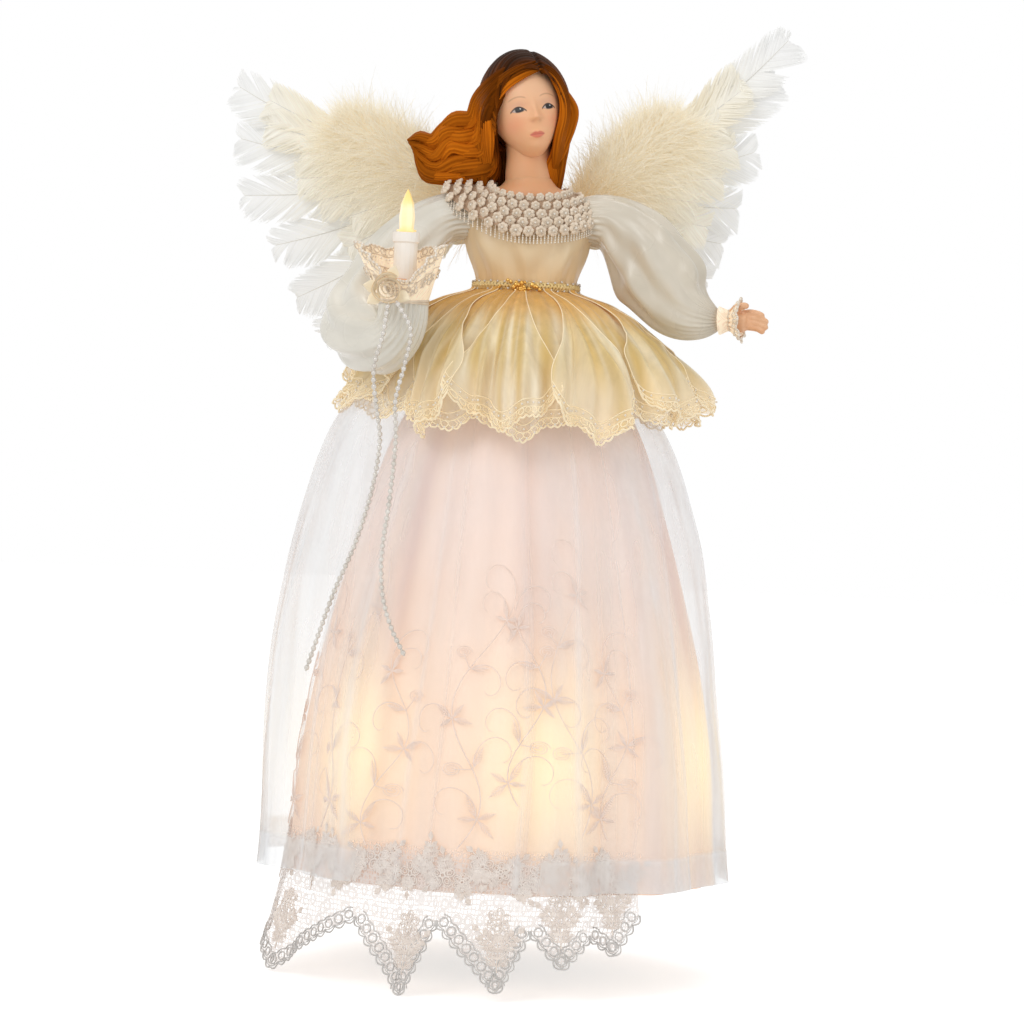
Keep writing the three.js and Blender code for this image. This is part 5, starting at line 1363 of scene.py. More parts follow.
def head_point(angle, polar, grow):
    """A place on the head in its own frame, by angle from the face and angle down from the crown"""
    low = ease(-np.cos(polar))
    x = np.sin(polar) * np.sin(angle) * (HEAD_SIZE[0] * (1 - 0.26 * low) + grow)
    z = np.cos(polar) * (HEAD_SIZE[2] + grow)
    facing = np.maximum(np.cos(angle), 0)
    across, up = x / HEAD_SIZE[0], z / HEAD_SIZE[2]
    nose = 0.165 * bell(across, 0.1 + 0.055 * bell(up + 0.3, 0.09)) * nose_ridge(up)
    socket = -0.075 * bell(np.abs(across) - 0.41, 0.2) * bell(up + 0.1, 0.1)
    eye = 0.035 * bell(np.abs(across) - 0.41, 0.14) * bell(up + 0.12, 0.055)
    lips = 0.05 * bell(across, 0.19) * (bell(up + 0.56, 0.038) + 1.1 * bell(up + 0.645, 0.04))
    chin = 0.09 * bell(across, 0.32) * bell(up + 0.86, 0.12)
    cheeks = 0.045 * bell(np.abs(across) - 0.5, 0.25) * bell(up + 0.35, 0.25)
    depth = HEAD_SIZE[1] * (1 + facing * (nose + socket + eye + lips + chin + cheeks)) + grow
    y = -np.sin(polar) * np.cos(angle) * depth - 0.2 * HEAD_SIZE[1] * low
    return np.stack([x, y, z], -1)


def laid(paint, mask, tint):
    return paint * (1 - mask[..., None]) + dye(*tint) * mask[..., None]


def between(value, low, high, soft):
    return ease((value - low) / soft + 0.5) * ease((high - value) / soft + 0.5)


def face_paint(x, z, facing):
    """A calm doll's face: soft blush, dark painted eyes and small coral lips"""
    # The face's skin is painted lighter than the neck's: a painted light against the shade of the hair
    paint = np.broadcast_to(dye(0.955, 0.725, 0.545), (*x.shape, 3)).copy()
    front = ease((facing - 0.15) / 0.25)
    side = np.abs(x)
    eye, eye_line, mouth, mouth_half = 5.8, -2.55, -12.05, 2.9
    paint = laid(paint, 0.45 * front * bell(z - 6, 6), (0.95, 0.79, 0.65))
    paint = laid(paint, 0.45 * front * bell(side - 7.6, 3.4) * bell(z + 7.6, 3.2), (0.93, 0.57, 0.43))
    paint = laid(paint, 0.3 * front * bell(side - eye, 3.0) * bell(z + 0.5, 1.5), (0.8, 0.6, 0.56))
    paint = laid(paint, 0.22 * front * bell(side - 1.4, 0.7) * bell(z + 7.2, 0.6), (0.7, 0.4, 0.34))
    for hand in (-1, 1):
        q = (x - hand * eye) / 2.45
        upper = eye_line + 1.3 * (1 - q * q)
        lower = eye_line - 0.65 * (1 - q * q)
        opened = front * between(z, lower, upper, 0.25) * (np.abs(q) < 1)
        paint = laid(paint, opened, (0.8, 0.73, 0.69))
        look = np.hypot(x - hand * eye - 0.35, z + 2.2)
        paint = laid(paint, opened * ease((1.55 - look) / 0.25 + 0.5), (0.1, 0.07, 0.06))
        paint = laid(paint, opened * ease((0.95 - look) / 0.25 + 0.5), (0.03, 0.025, 0.025))
        # The white spark in each eye is a painted highlight
        spark = np.hypot(x - hand * eye - 0.7, z + 1.85)
        paint = laid(paint, opened * ease((0.22 - spark) / 0.15 + 0.5), (0.96, 0.96, 0.96))
        lash = between(z, upper - 0.3, upper + 0.35, 0.2) * between(q, -1.15, 1.15, 0.1)
        paint = laid(paint, 0.95 * front * lash, (0.13, 0.08, 0.07))
        lid = between(z, lower - 0.15, lower + 0.1, 0.2) * between(q, -0.95, 0.95, 0.2)
        paint = laid(paint, 0.4 * front * lid, (0.5, 0.3, 0.25))
        arch = 2.6 - 0.1 * (x - hand * 5.4) ** 2
        brow = between(z, arch - 0.25, arch + 0.25, 0.5) * between(hand * x, 2.8, 8.8, 1.2)
        paint = laid(paint, 0.5 * front * brow, (0.66, 0.46, 0.36))
    bow = 1 - (x / mouth_half) ** 2
    upper = mouth + 1.2 * bow * (1 - 0.3 * bell(x, 0.55))
    lower = mouth - 1.35 * bow
    lips = front * between(z, lower, upper, 0.6) * (side < mouth_half)
    paint = laid(paint, 0.9 * lips, (0.87, 0.46, 0.37))
    paint = laid(paint, 0.45 * lips * bell(z - mouth, 0.22), (0.62, 0.28, 0.24))
    return paint


def bust():
    shape = Shape()
    u = np.linspace(0, 1, 300, endpoint=False)
    v = np.linspace(0, 1, 260)
    angle, polar = np.meshgrid(
        TURN * u - 0.78 * np.sin(TURN * u), math.pi * (0.02 + 0.96 * (v + 0.09 * np.sin(TURN * v)))
    )
    local = head_point(angle, polar, 0)
    paint = face_paint(local[..., 0], local[..., 2], np.cos(angle))
    shape.grid(on_head(local), True, paint)
    sides = np.linspace(0, TURN, 72, endpoint=False)
    turn, rise = np.meshgrid(sides, np.linspace(0, 1, 40))
    wide = profile([[0, 9.3], [0.25, 9.2], [0.5, 8.5], [0.8, 8.7], [1, 9]])(rise)
    hollow = 1 - 0.05 * bell(apart(turn, 0), 0.35) * bell(rise - 0.12, 0.12)
    base, top = WAIST + 47, HEAD[2] - 6
    points = around(wide * hollow, turn, base + (top - base) * rise)
    points = points + np.array([-2.2, -1, 0]) * rise[..., None]
    # The neck and chest keep a darker skin than the face, whose lighter skin is a painted light
    skin = dye(0.89, 0.66, 0.48)
    shade = bell(rise - 0.85, 0.25)[..., None] * 0.25
    shape.grid(points, True, skin * (1 - shade) + dye(0.8, 0.53, 0.36) * shade)
    turn, row = np.meshgrid(sides, np.arange(8))
    rise = np.array([42, 43.5, 45, 46.5, 48, 49.2, 50.6, 52.2])
    wide = np.append(torso_width(rise[:5]) + 0.9, [11.2, 10, 9.2])
    deep = np.append(torso_depth(rise[:5]) + 0.9, [10.7, 9.9, 9.2])
    points = np.stack([wide[row] * np.sin(turn), -deep[row] * np.cos(turn), WAIST + rise[row]], -1)
    shape.grid(points, True, skin)
    made("painted_bust", shape, SKIN, "figure", ["bust"])


HAIR_DARK = dye(0.14, 0.07, 0.013)
HAIR_AUBURN = dye(0.63, 0.305, 0.043)
HAIR_BRIGHT = dye(0.99, 0.56, 0.12)
PARTING = 5


def hair_paint(crest, light):
    """From the dark of the grooves through auburn to the bright brushed crests; light is the painted light
    and shade of each place, and the crests brighten with it as a painted highlight
    """
    crest, light = np.broadcast_arrays(crest, light)
    light = np.clip(light, 0, 1)[..., None]
    low = HAIR_DARK + (HAIR_AUBURN - HAIR_DARK) * light
    shadow = HAIR_AUBURN * 0.45 + HAIR_DARK * 0.55
    high = shadow + (HAIR_BRIGHT - HAIR_AUBURN * 0.45 - HAIR_DARK * 0.55) * light
    return low + (high - low) * crest[..., None]


def lock(shape, points, radii, light, ridges, twist=2.0, flatness=0.7):
    """A carved lock: a tapering tube with grooves along it"""
    line = spline(points, 46)
    share = np.linspace(0, 1, 46)
    radius = profile([[s, r] for s, r in zip(np.linspace(0, 1, len(radii)), radii)])(share)
    turn = TURN * np.arange(30) / 30
    wander = twist * TURN * share[:, None] * 0.4
    fine = np.cos((ridges + 3) * turn + 1.7 * ridges - 1.6 * wander)
    groove = 0.6 * np.cos(ridges * turn + wander) + 0.4 * fine
    around_line = radius[:, None] * (1 + 0.11 * groove)
    side, up = frames_along(line)
    ring = np.cos(turn)[None, :, None] * side[:, None] + flatness * np.sin(turn)[None, :, None] * up[:, None]
    shade = np.interp(share, np.linspace(0, 1, len(light)), light)
    paint = hair_paint(0.48 + 0.36 * groove, shade[:, None] + 0 * groove)
    shape.grid(line[:, None] + around_line[..., None] * ring, True, paint)


def hair_cap(shape):
    """The hair over the skull, combed from the parting, open round the face"""
    rows, columns = 170, 300
    sides = np.linspace(0, TURN, columns, endpoint=False)
    angle, polar = np.meshgrid(sides, np.linspace(0.002, 0.72, rows) * math.pi)
    local = head_point(angle, polar, 3.4)
    x, y, z = np.moveaxis(local, -1, 0)
    local[..., 2] = z - 1.6 * ease((z - 4) / 18)
    hand = np.sign(x - PARTING)
    comb = y + 0.35 * (20 - z) * 0.55 + 0.8 * np.sin(z / 4 + hand)
    groove = np.cos(comb * 2.6) * 0.6 + np.cos(comb * 6.1 + 1) * 0.4
    parting = bell(x - PARTING, 0.8) * ease((2 - y) / 6) * (z > 6)
    lift = (0.12 + 0.16 * ease((8 - z) / 10)) * groove - 1.1 * parting
    local = local + unit(local) * lift[..., None]
    light = 0.02 + 0.5 * ease((5 - z) / 22) + 0.07 * bell(z - 14, 5) * np.cos(comb * 0.9)
    # Darker along the parting: a painted shade in its groove
    paint = hair_paint((0.5 + 0.5 * groove) * ease((22 - z) / 18), light - 0.5 * parting)
    open_face = ((x + 0.8) / 13.2) ** 2 + ((z + 7.6) / 20.2) ** 2 < 1
    keep = ~((open_face & (y < 0)) | ((z < -11) & (y < 4)))
    faces = quads(rows, columns, True)
    faces = faces[keep.ravel()[faces].all(1)]
    shape.add(on_head(local), faces, paint)


def hair_front(x, z, out):
    """A point on the front of the hair, over the face's edge"""
    inside = 1 - ((x + 3.2) / 17.5) ** 2 - ((z - 287.5) / 23.5) ** 2
    return [x, -3 - (16.5 + out) * math.sqrt(max(inside, 0.02)), z]


def front_waves(shape):
    """Four locks each side, from the parting down past the face"""
    left_edge = [
        (2.2, 300.6), (-5, 297.4), (-11.2, 292.8), (-15, 287.6), (-16.4, 282), (-16, 275), (-15.6, 264)
    ]
    right_edge = [
        (2.4, 300.6), (5.4, 298.8), (8.4, 294.8), (10.6, 289.5), (11, 283.5), (9.6, 276), (8.4, 264)
    ]
    for k in range(4):
        grow = 1.25 * k
        points = [
            hair_front(x - 0.62 * grow, z + 0.78 * grow * (1 - i / 7), 1.2 + 0.25 * k)
            for i, (x, z) in enumerate(left_edge)
        ]
        light = [0.05, 0.1, 0.2, 0.45, 0.7, 0.6, 0.5] if k else [0.2, 0.6, 0.95, 1, 0.9, 0.7, 0.5]
        lock(shape, points, [0.3, 1.2, 1.5, 1.6, 1.7, 1.6, 0.3], light, 6)
        points = [
            hair_front(x + 0.35 * grow, z + 0.5 * grow * (1 - i / 7), 1.0 + 0.2 * k)
            for i, (x, z) in enumerate(right_edge)
        ]
        light = [0.05, 0.08, 0.15, 0.3, 0.45, 0.4, 0.3] if k else [0.2, 0.55, 0.75, 0.7, 0.6, 0.5, 0.35]
        lock(shape, points, [0.3, 1.1, 1.3, 1.5, 1.6, 1.5, 0.3], light, 6)


def blown_locks(shape):
    """The long side, four layers of locks between an upper and a lower line"""
    upper = [
        (-14, 297), (-21, 290), (-24, 283.5), (-30, 283),
        (-34.5, 278.5), (-38, 274.6), (-43, 276), (-47.5, 273.5),
    ]
    lower = [
        (-16.2, 283), (-15.8, 274), (-14.6, 263), (-18.5, 258.6),
        (-27, 259.4), (-34, 259), (-40, 260), (-44.5, 268),
    ]
    rows = 13
    for layer, (depth, inset) in enumerate(((-5.5, 0.06), (-0.5, 0.0), (5, 0.05), (10, 0.12))):
        for i in range(rows):
            share = inset + (1 - 2 * inset) * i / (rows - 1)
            points = []
            for k, (high, low) in enumerate(zip(upper, lower)):
                x = high[0] + (low[0] - high[0]) * share
                z = high[1] + (low[1] - high[1]) * share
                wave = math.sin(1.75 * k + 2.4 * share + 0.5 * layer) + 0.5 * math.sin(3.1 * k + 5 * share)
                z = z + 1.5 * wave * (k > 1) * (1 - abs(2 * share - 1) ** 3)
                y = 1 + depth * (1 - 0.085 * k) + 1.3 * math.sin(1.9 * k + 1.7 * i + layer)
                points.append([x, y, z])
            if layer == 0:
                points[0] = hair_front(points[0][0], points[0][2], 1.5)
                points[1] = [points[1][0], min(points[1][1], -6.5), points[1][2]]
            crown = hair_front(-3 - 2 * share, 306.5 - 6 * share, -3)
            points = [[crown[0], crown[1] + 5 * layer, crown[2]], *points]
            light = 1.0 - 0.5 * abs(share - 0.4) - 0.2 * layer + chance.uniform(-0.38, 0.12)
            shaded = light - 0.5 * ease((share - 0.62) / 0.3)
            tones = [0.0, 0.02, 0.06, 0.08 + 0.4 * shaded, 0.9 * shaded, light, light, light * 0.85, 0.35]
            stout = chance.uniform(0.8, 1.3)
            radii = [stout * r for r in (0.1, 1.3, 2.2, 2.5, 2.5, 2.4, 2.1, 1.7, 0.3)]
            lock(shape, points, radii, tones, int(chance.integers(6, 11)), chance.uniform(-3, 3), 0.7)


def short_locks(shape):
    """The side that is blown against the neck"""
    outer = [
        (8, 297), (11.8, 291.5), (14.8, 286.5), (14.3, 281), (12.6, 275), (11, 270.5), (8.8, 266), (10, 259)
    ]
    inner = [
        (9, 293), (10.6, 287), (11.6, 282), (10.6, 277.5), (9.4, 273), (8.2, 269), (6.6, 265), (8.4, 258.5)
    ]
    radii = [0.3, 2, 2.1, 2.0, 1.8, 1.7, 1.4, 0.4]
    for layer, depth in enumerate((-5, 0, 5.5)):
        for i in range(4):
            share = i / 3
            points = [
                [a[0] + (b[0] - a[0]) * share, -2 + depth * (1 - 0.07 * k), a[1] + (b[1] - a[1]) * share]
                for k, (a, b) in enumerate(zip(outer, inner))
            ]
            light = 0.62 - 0.12 * layer + 0.12 * share
            lock(shape, points, radii, [light * 0.4, light, light, light, 0.4], 6, 2, 0.8)


def back_locks(shape):
    for i in range(21):
        way = math.radians(85 + 190 * i / 20)
        points = []
        for k, (wide, rise) in enumerate(((5, 95), (11.5, 91), (15, 81), (15.5, 69), (14.5, 57), (14, 46))):
            x, y, _ = around(wide * (1 + 0.03 * math.sin(2 * k + i)), way, 0)
            points.append([HEAD[0] - 0.5 + x, HEAD[1] + 1 + 0.95 * y, WAIST + rise])
        lock(shape, points, [0.2, 1.8, 2.7, 2.7, 2.3, 1.6], [0.0, 0.1, 0.35, 0.45, 0.35, 0.15], 8, 2, 0.9)


def hair():
    shape = Shape()
    for part in (hair_cap, front_waves, blown_locks, short_locks, back_locks):
        part(shape)
    made("carved_hair", shape, HAIR, "figure", ["hair"])


bust()
hair()


# Arms


def arm_line(points, side, count):
    return spline([SHOULDER * [side, 1, 1] + [side * out, -ahead, up] for out, ahead, up in points], count)


def relaxed(grid, rounds):
    """Evens out a grid whose seam columns lie together, with its end rows kept"""
    for _ in range(rounds):
        ringed = np.concatenate([grid[:, -2:-1], grid, grid[:, 1:2]], 1)
        even = (ringed[1:-1, :-2] + ringed[1:-1, 2:] + ringed[:-2, 1:-1] + ringed[2:, 1:-1]) / 4
        grid = np.concatenate([grid[:1], even, grid[-1:]])
    return grid


def sleeve(name, points, radii, side, body, node, paint):
    rows, columns = 110, 145
    line = arm_line(points, side, rows)
    across, up = frames_along(line)
    share = np.linspace(0, 1, rows)[:, None]
    turn = np.linspace(0, TURN, columns)[None, :]
    ring = turned(turn, across[:, None], up[:, None])
    radius = 1.03 * profile(radii)(share) + 0 * turn
    base = relaxed(line[:, None] + radius[..., None] * ring, 80)
    puff = 0.08 * np.sin(math.pi * share) * np.cos(8 * turn + 0.7 * np.sin(turn) + 0.8 * share)
    gather = 0.05 * np.cos(26 * turn) * (bell(share, 0.1) + bell(1 - share, 0.12))
    sweep = np.sin(3 * turn + 9 * share) * np.sin(math.pi * share)
    crease = np.sin(19 * share + 2.6 * np.cos(turn + 0.6)) * bell(share - 0.6, 0.26)
    soft = 0.04 * sweep + 0.05 * crease + 0.02 * np.sin(11 * turn - 17 * share) * np.sin(math.pi * share)
    outward = unit(np.cross(np.gradient(base, axis=0), np.gradient(base, axis=1)))
    outward[:, [0, -1]] = unit(outward[:, 1:2] + outward[:, -2:-1])
    outward = outward * np.sign((outward * ring).sum(-1).mean())
    grid = base + (radius * (puff + gather + soft))[..., None] * outward
    cloth(name, grid, SLEEVE_SATIN, body, [node], paint)


def cuff(name, grid, cover, edge, seeds):
    """A lace frill over one hand, with its worked edge and its beads"""
    trims = [
        (f"{name}_cuff_edge", edge, FLORET_YARN, "lace"),
        (f"{name}_cuff_beads", seeds, SEED_PEARL, "pearl"),
    ]
    cloth(
        f"{name}_cuff_frill", grid, CUFF_LACE, f"{name}_arm", [f"{name}_cuff"],
        cover, trims,
    )


def open_cuff_and_hand():
    line = arm_line(OPEN_ARM, 1, 80)
    end, way = line[-1], unit(line[-1] - line[-3])
    side = unit(np.cross(way, [0, 0, 1.0]))
    up = np.cross(side, way)

    def beside(out, turn, along):
        return (
            end + along[..., None] * way
            + (out * np.cos(turn))[..., None] * side + (out * np.sin(turn))[..., None] * up
        )

    turn, share = laid_out((0, TURN, 161), (0, 1, 24))
    scallop = 0.5 + 0.5 * np.cos(8 * turn)
    frill = 0.6 * np.cos(16 * turn + 1) * ease(1.4 - 2 * share)
    out = 3.6 + 3.2 * (1 + 0.3 * scallop) * np.maximum(1 - 2 * share, 0)
    out = out + 1.8 * np.maximum(2 * share - 1, 0) + frill
    grid = beside(out, turn, CLEARANCE + (7.5 + 0.9 * scallop) * (1 - share))
    edge, seeds = Shape(), Shape()
    for row, thick in ((0, 0.5), (5, 0.3), (11, 0.5)):
        edge.thread(grid[row], thick, 5)
    for row, count, size in ((0, 49, 0.55), (3, 33, 0.42)):
        seeds.beads(evenly(grid[row], count)[:-1], size)
    cuff("open", grid, grey(0.55 * ease(2 * share - 0.6)), edge, seeds)
    hand = Shape()

    def joint(points, radii):
        run = np.array([end + x * side + y * up + z * way for x, y, z in points])
        smooth = spline(run, 26)
        size = np.interp(np.linspace(0, 1, 26), np.linspace(0, 1, len(radii)), radii)
        size[:3] = size[:3] * [0.02, 0.65, 0.9]
        size[-3:] = size[-3:] * [0.9, 0.65, 0.02]
        hand.grid(tube(smooth, size, 14), True)

    joint([(0, 0, -4), (0, 0, 3), (0, -0.4, 8), (0, -1, 12)], [3.0, 3.1, 4.5, 3.7])
    for place, long, drop in ((2.6, 6.4, -1.6), (0.9, 8, -2.2), (-0.9, 7.8, -2.6), (-2.5, 6.4, -2.6)):
        joint(
            [(0.3, 0.8 * place, 9), (0.5, place, 12), (1.2, place + 0.3 * drop, 12 + 0.5 * long),
             (2.2, place + drop, 11.5 + long)],
            [1.6, 1.5, 1.35, 1.1],
        )
    joint([(1.0, 2.2, 5), (2.6, 4.4, 7.5), (3.4, 5.2, 10), (3.6, 5.0, 12.5)], [1.6, 1.6, 1.4, 1.1])
    palm = made("open_palm", hand, HAND_RESIN, "open_arm", ["open_hand"])
    weld = palm.modifiers.new("one skin", "REMESH")
    weld.mode = "VOXEL"
    weld.voxel_size = 0.00032
    weld.use_smooth_shade = True
    rounder = palm.modifiers.new("rounded", "SMOOTH")
    rounder.iterations = 5
    shaped = bpy.data.meshes.new_from_object(palm.evaluated_get(bpy.context.evaluated_depsgraph_get()))
    palm.modifiers.clear()
    palm.data = shaped


def candle_cuff():
    """The lace ring round the candle hand, open upwards with a beaded scalloped rim, drawn in at the wrist"""
    turn, share = laid_out((0, TURN, 241), (0, 1, 40))
    scallop = 0.5 + 0.5 * np.cos(8 * turn)
    front = np.maximum(np.cos(turn), 0)
    height = (20 - 14 * front**2 + 1.5 * scallop) * (1 - share)
    open_share = 1 - share
    flare = 7 * (0.85 + 0.15 * scallop)
    ruffle = 1.1 * np.cos(16 * turn + 0.7) * open_share**1.5
    radius = 8.5 + flare * open_share * (1 - 0.5 * front) + ruffle + 0.4
    low = SHOULDER[2] + CANDLE_WRIST + CLEARANCE
    centre = np.stack(
        [CANDLE[0] - 2 * open_share, CANDLE[1] + 3.5 * share, np.full_like(share, low)], -1
    )
    frill = around(radius, turn, height) + centre
    drawn = np.linspace(0.93, 0.3, 10)[:, None]
    seam = np.stack([0 * drawn + CANDLE[0], 0 * drawn + CANDLE[1] + 3.5, low - 1.2 * (1 - drawn)], -1)
    pucker = 0.3 * np.cos(26 * turn[:10]) * np.sin(math.pi * drawn)
    grid = np.concatenate([frill, around(8.9 * drawn, turn[:10], pucker) + seam])
    edge, seeds = Shape(), Shape()
    for row, thick in ((0, 0.42), (6, 0.25), (14, 0.25), (37, 0.5), (39, 0.6)):
        edge.thread(grid[row], thick, 5)

    def directions(row, k):
        middle = grid[row, k]
        return middle, unit(grid[row, k + 1] - middle), unit(grid[row + 1, k] - middle)

    for k in range(0, 240, 5):
        middle, right, down = directions(3, k)
        edge.thread(middle + 1.05 * turned(CIRCLE, right, down), 0.24, 4)
    for k in range(0, 240, 10):
        middle, right, down = directions(19, k)
        for petal in range(5):
            way = TURN * petal / 5
            aim = math.cos(way) * right + math.sin(way) * down
            across = math.cos(way) * down - math.sin(way) * right
            loop = middle + (1.3 + 1.0 * np.cos(CIRCLE))[:, None] * aim
            edge.thread(loop + (0.7 * np.sin(CIRCLE))[:, None] * across, 0.24, 4)
    for row, count, size in ((0, 85, 0.55), (19, 37, 0.55), (8, 50, 0.4)):
        seeds.beads(evenly(grid[row], count)[:-1], size)
    cover = np.concatenate([grey(0.4 * ease(1.6 * share - 0.5)), np.ones((10, 241, 3))])
    cuff("candle", grid, cover, edge, seeds)


def ribbon_rose():
    """A rose of folded ribbon: a spiral whose outer edge rolls over"""
    shape = Shape()
    u, v = np.meshgrid(np.linspace(0, 1, 220), np.linspace(0, 1, 12), indexing="ij")
    angle = TURN * 3.1 * u
    petal = 0.5 + 0.5 * np.cos(3.7 * angle)
    roll = v * v * (0.55 + 0.7 * u) * (0.6 + 0.5 * petal)
    radius = 0.7 + (ROSE_RADIUS - 0.6) * u + roll
    ahead = 2.6 * (v - 0.5) * 2 * (1 - 0.2 * u) - 1.4 * u - 0.9 * v**4 * u * petal
    points = np.stack([radius * np.sin(angle), -ahead - 0.2, radius * np.cos(angle)], -1) + ROSE
    ivory, gold = dye(1, 0.955, 0.87), dye(0.9, 0.74, 0.48)
    rim = bell(v - 1, 0.1)[..., None]
    # Painted shade down into the rose, away from its rim
    depth = ease(1 - v)[..., None] * 0.1
    shape.grid(points, False, (ivory * (1 - rim) + gold * rim) * (1 - depth * (1 - gold)))
    leaf_u, leaf_v = np.meshgrid(np.linspace(0, 1, 16), np.linspace(-1, 1, 7), indexing="ij")
    for way in (-2.5, -0.4, 1.3, 3.0):
        reach = 3.6 + 5.6 * leaf_u
        half = 2.3 * np.sin(math.pi * leaf_u**0.75) * leaf_v
        x = reach * math.cos(way) - half * math.sin(way)
        z = reach * math.sin(way) + half * math.cos(way)
        y = 1.6 - 1.2 * leaf_u**2 + 0.5 * leaf_v**2
        shape.grid(np.stack([x, y, z], -1) + ROSE, False, dye(0.98, 0.92, 0.8))
    made("folded_rose", shape, ROSE_RIBBON, "candle_arm", ["ribbon_rose"])


def lamp_leads():
    """The two bare leads of the candle lamp, from its base down into the socket"""
    low, high = (np.array(corner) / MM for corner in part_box("candle_lamp"))
    shape = Shape()
    for side in (-1, 1):
        foot = np.array([(low[0] + high[0]) / 2 + 0.9 * side, (low[1] + high[1]) / 2, low[2]])
        shape.thread(foot + np.outer(np.linspace(1.5, -6.5, 12), [0, 0, 1]), 0.25, 6)
    made("lamp_leads", shape, STEEL_WIRE, "candle_bulb")


# The two sleeves share one satin, with painted light and shade in their paint: the candle sleeve almost
# white, the open sleeve darker and yellower
sleeve("open_sleeve_satin", OPEN_ARM, OPEN_SLEEVE, 1, "open_arm", "open_sleeve", colour(0.94, 0.91, 0.865))
sleeve(
    "candle_sleeve_satin", CANDLE_ARM, CANDLE_SLEEVE, -1, "candle_arm", "candle_sleeve",
    colour(0.99, 0.98, 0.96),
)
open_cuff_and_hand()
candle_cuff()
ribbon_rose()
lamp_leads()


# Wings


def on_wing(side, points):
    """From a wing's own frame, out, back and up from its hinge, to the figure's"""
    sweep = side * math.radians(WING_SWEEP)
    out, back, up = np.moveaxis(np.asarray(points, float), -1, 0)
    out = side * out
    x = out * math.cos(sweep) - back * math.sin(sweep)
    y = out * math.sin(sweep) + back * math.cos(sweep)
    return np.stack([x, y, up], -1) + WING_HINGE * [side, 1, 1]


vane_half = profile([[0, 0.12], [0.12, 0.4], [0.45, 0.95], [0.75, 0.92], [0.93, 0.55], [1, 0.1]])


def feather(side, root, tip, depth, half_width, bow, tints, fluff):
    """A quill with fine barbs on both sides that part into ragged groups"""
    shape = Shape()
    root, tip = np.array([root[0], 0, root[1]], float), np.array([tip[0], 0, tip[1]], float)
    reach = tip - root
    long = np.linalg.norm(reach)
    way = reach / long
    across = np.array([-way[2], 0, way[0]])

    def quill(share):
        bend = -bow * np.sin(math.pi * share) * (long / 100)
        point = root + share[..., None] * reach + bend[..., None] * across
        point[..., 1] = depth + 0.4
        return point

    share = np.linspace(0, 1, 40)
    quill_paint = dye(0.86, 0.85, 0.82)
    shape.grid(on_wing(side, tube(quill(share), 0.55 * (1 - 0.8 * share), 5)), True, quill_paint)
    count = int(long / 0.24)
    step = np.linspace(0, 1, 7)
    for hand in (-1, 1):
        foot = np.linspace(0.06, 0.995, count) + chance.normal(0, 0.002, count)
        group = np.cumsum(chance.exponential(0.09, 60))
        near = np.array([group[np.argmin(np.abs(group - f))] for f in foot])
        pull = (near - foot) * chance.uniform(0.1, 0.4)
        reach_out = half_width * vane_half(np.clip(foot, 0, 1)) * chance.uniform(0.86, 1.06, count)
        loose = ease((0.3 - foot) / 0.2)
        slant = np.radians(38 + 10 * loose)
        run = reach_out / np.sin(slant)
        start = quill(np.clip(foot, 0, 1))
        out = step * (run * np.sin(slant))[:, None]
        forward = step * (run * np.cos(slant))[:, None] + 0.1 * step**2 * run[:, None]
        forward = forward + (pull * long)[:, None] * step**1.5
        forward = np.minimum(forward, ((1.03 - foot) * long)[:, None] * step**0.9 + 0.5)
        line = start[:, None] + out[..., None] * hand * across + forward[..., None] * way
        curl = (0.6 * np.sin(9 * foot + hand) + fluff * chance.normal(0, 1.2, count))[:, None] * step**2
        line[..., 1] = line[..., 1] + curl - 0.5 * step * (1 - step)
        halves = (0.4 * (1 - 0.7 * step**3))[:, None] * way
        inner, outer = (dye(*t) for t in tints)
        tone = np.clip(foot[:, None] * 1.35 - 0.25 + 0.25 * step, 0, 1)[..., None]
        paint = inner * (1 - tone) + outer * tone
        paint = paint * chance.uniform(0.9, 1.0, (count, 1, 1))
        wings_line = on_wing(side, line)
        shape.strips(wings_line, on_wing(side, line + halves) - wings_line, paint)
    return shape


IVORY_VANE = (0.98, 0.965, 0.92)
WHITE_VANE = (0.975, 0.975, 0.97)
CREAM_VANE = (0.975, 0.935, 0.84)
WING_STRETCH = 1 / math.cos(math.radians(WING_SWEEP))


def flight_feathers(name, side, tips, line):
    for i, (out, up) in enumerate(tips):
        root = line[round(100 * (0.72 - 0.12 * i))]
        shape = feather(
            side, (root[0], root[2] - 2), (out * WING_STRETCH, up), CLEARANCE + LAYER * i, 9.8, 4,
            (IVORY_VANE, WHITE_VANE), 0.25,
        )
        made(f"{name}_flight_{i + 1}", shape, FEATHER, f"{name}_wing", [f"{name}_feather_{i + 1}"])


def covert_feathers(name, side, tips, line):
    """Nine short feathers over the roots of the long ones"""
    coverts = Shape()
    for i in range(9):
        share = i / 8
        root = line[round(100 * (0.86 - 0.74 * share))]
        out, up = (np.interp(share * 5, np.arange(6), [tip[axis] for tip in tips]) for axis in (0, 1))
        way = unit(np.array([out * WING_STRETCH - root[0], up - root[2] + 2]))
        start = np.array([root[0], root[2] - 2])
        tip = start + (38 + 5 * math.sin(2.3 * i)) * way
        part = feather(side, start, tip, -1.2 - 0.35 * (i % 3), 8.5, 3, (CREAM_VANE, IVORY_VANE), 0.9)
        for points, faces, paint in zip(part.points, part.faces, part.paints):
            coverts.add(points, faces - faces.min(), paint)
    made(f"{name}_coverts", coverts, FEATHER, f"{name}_wing")


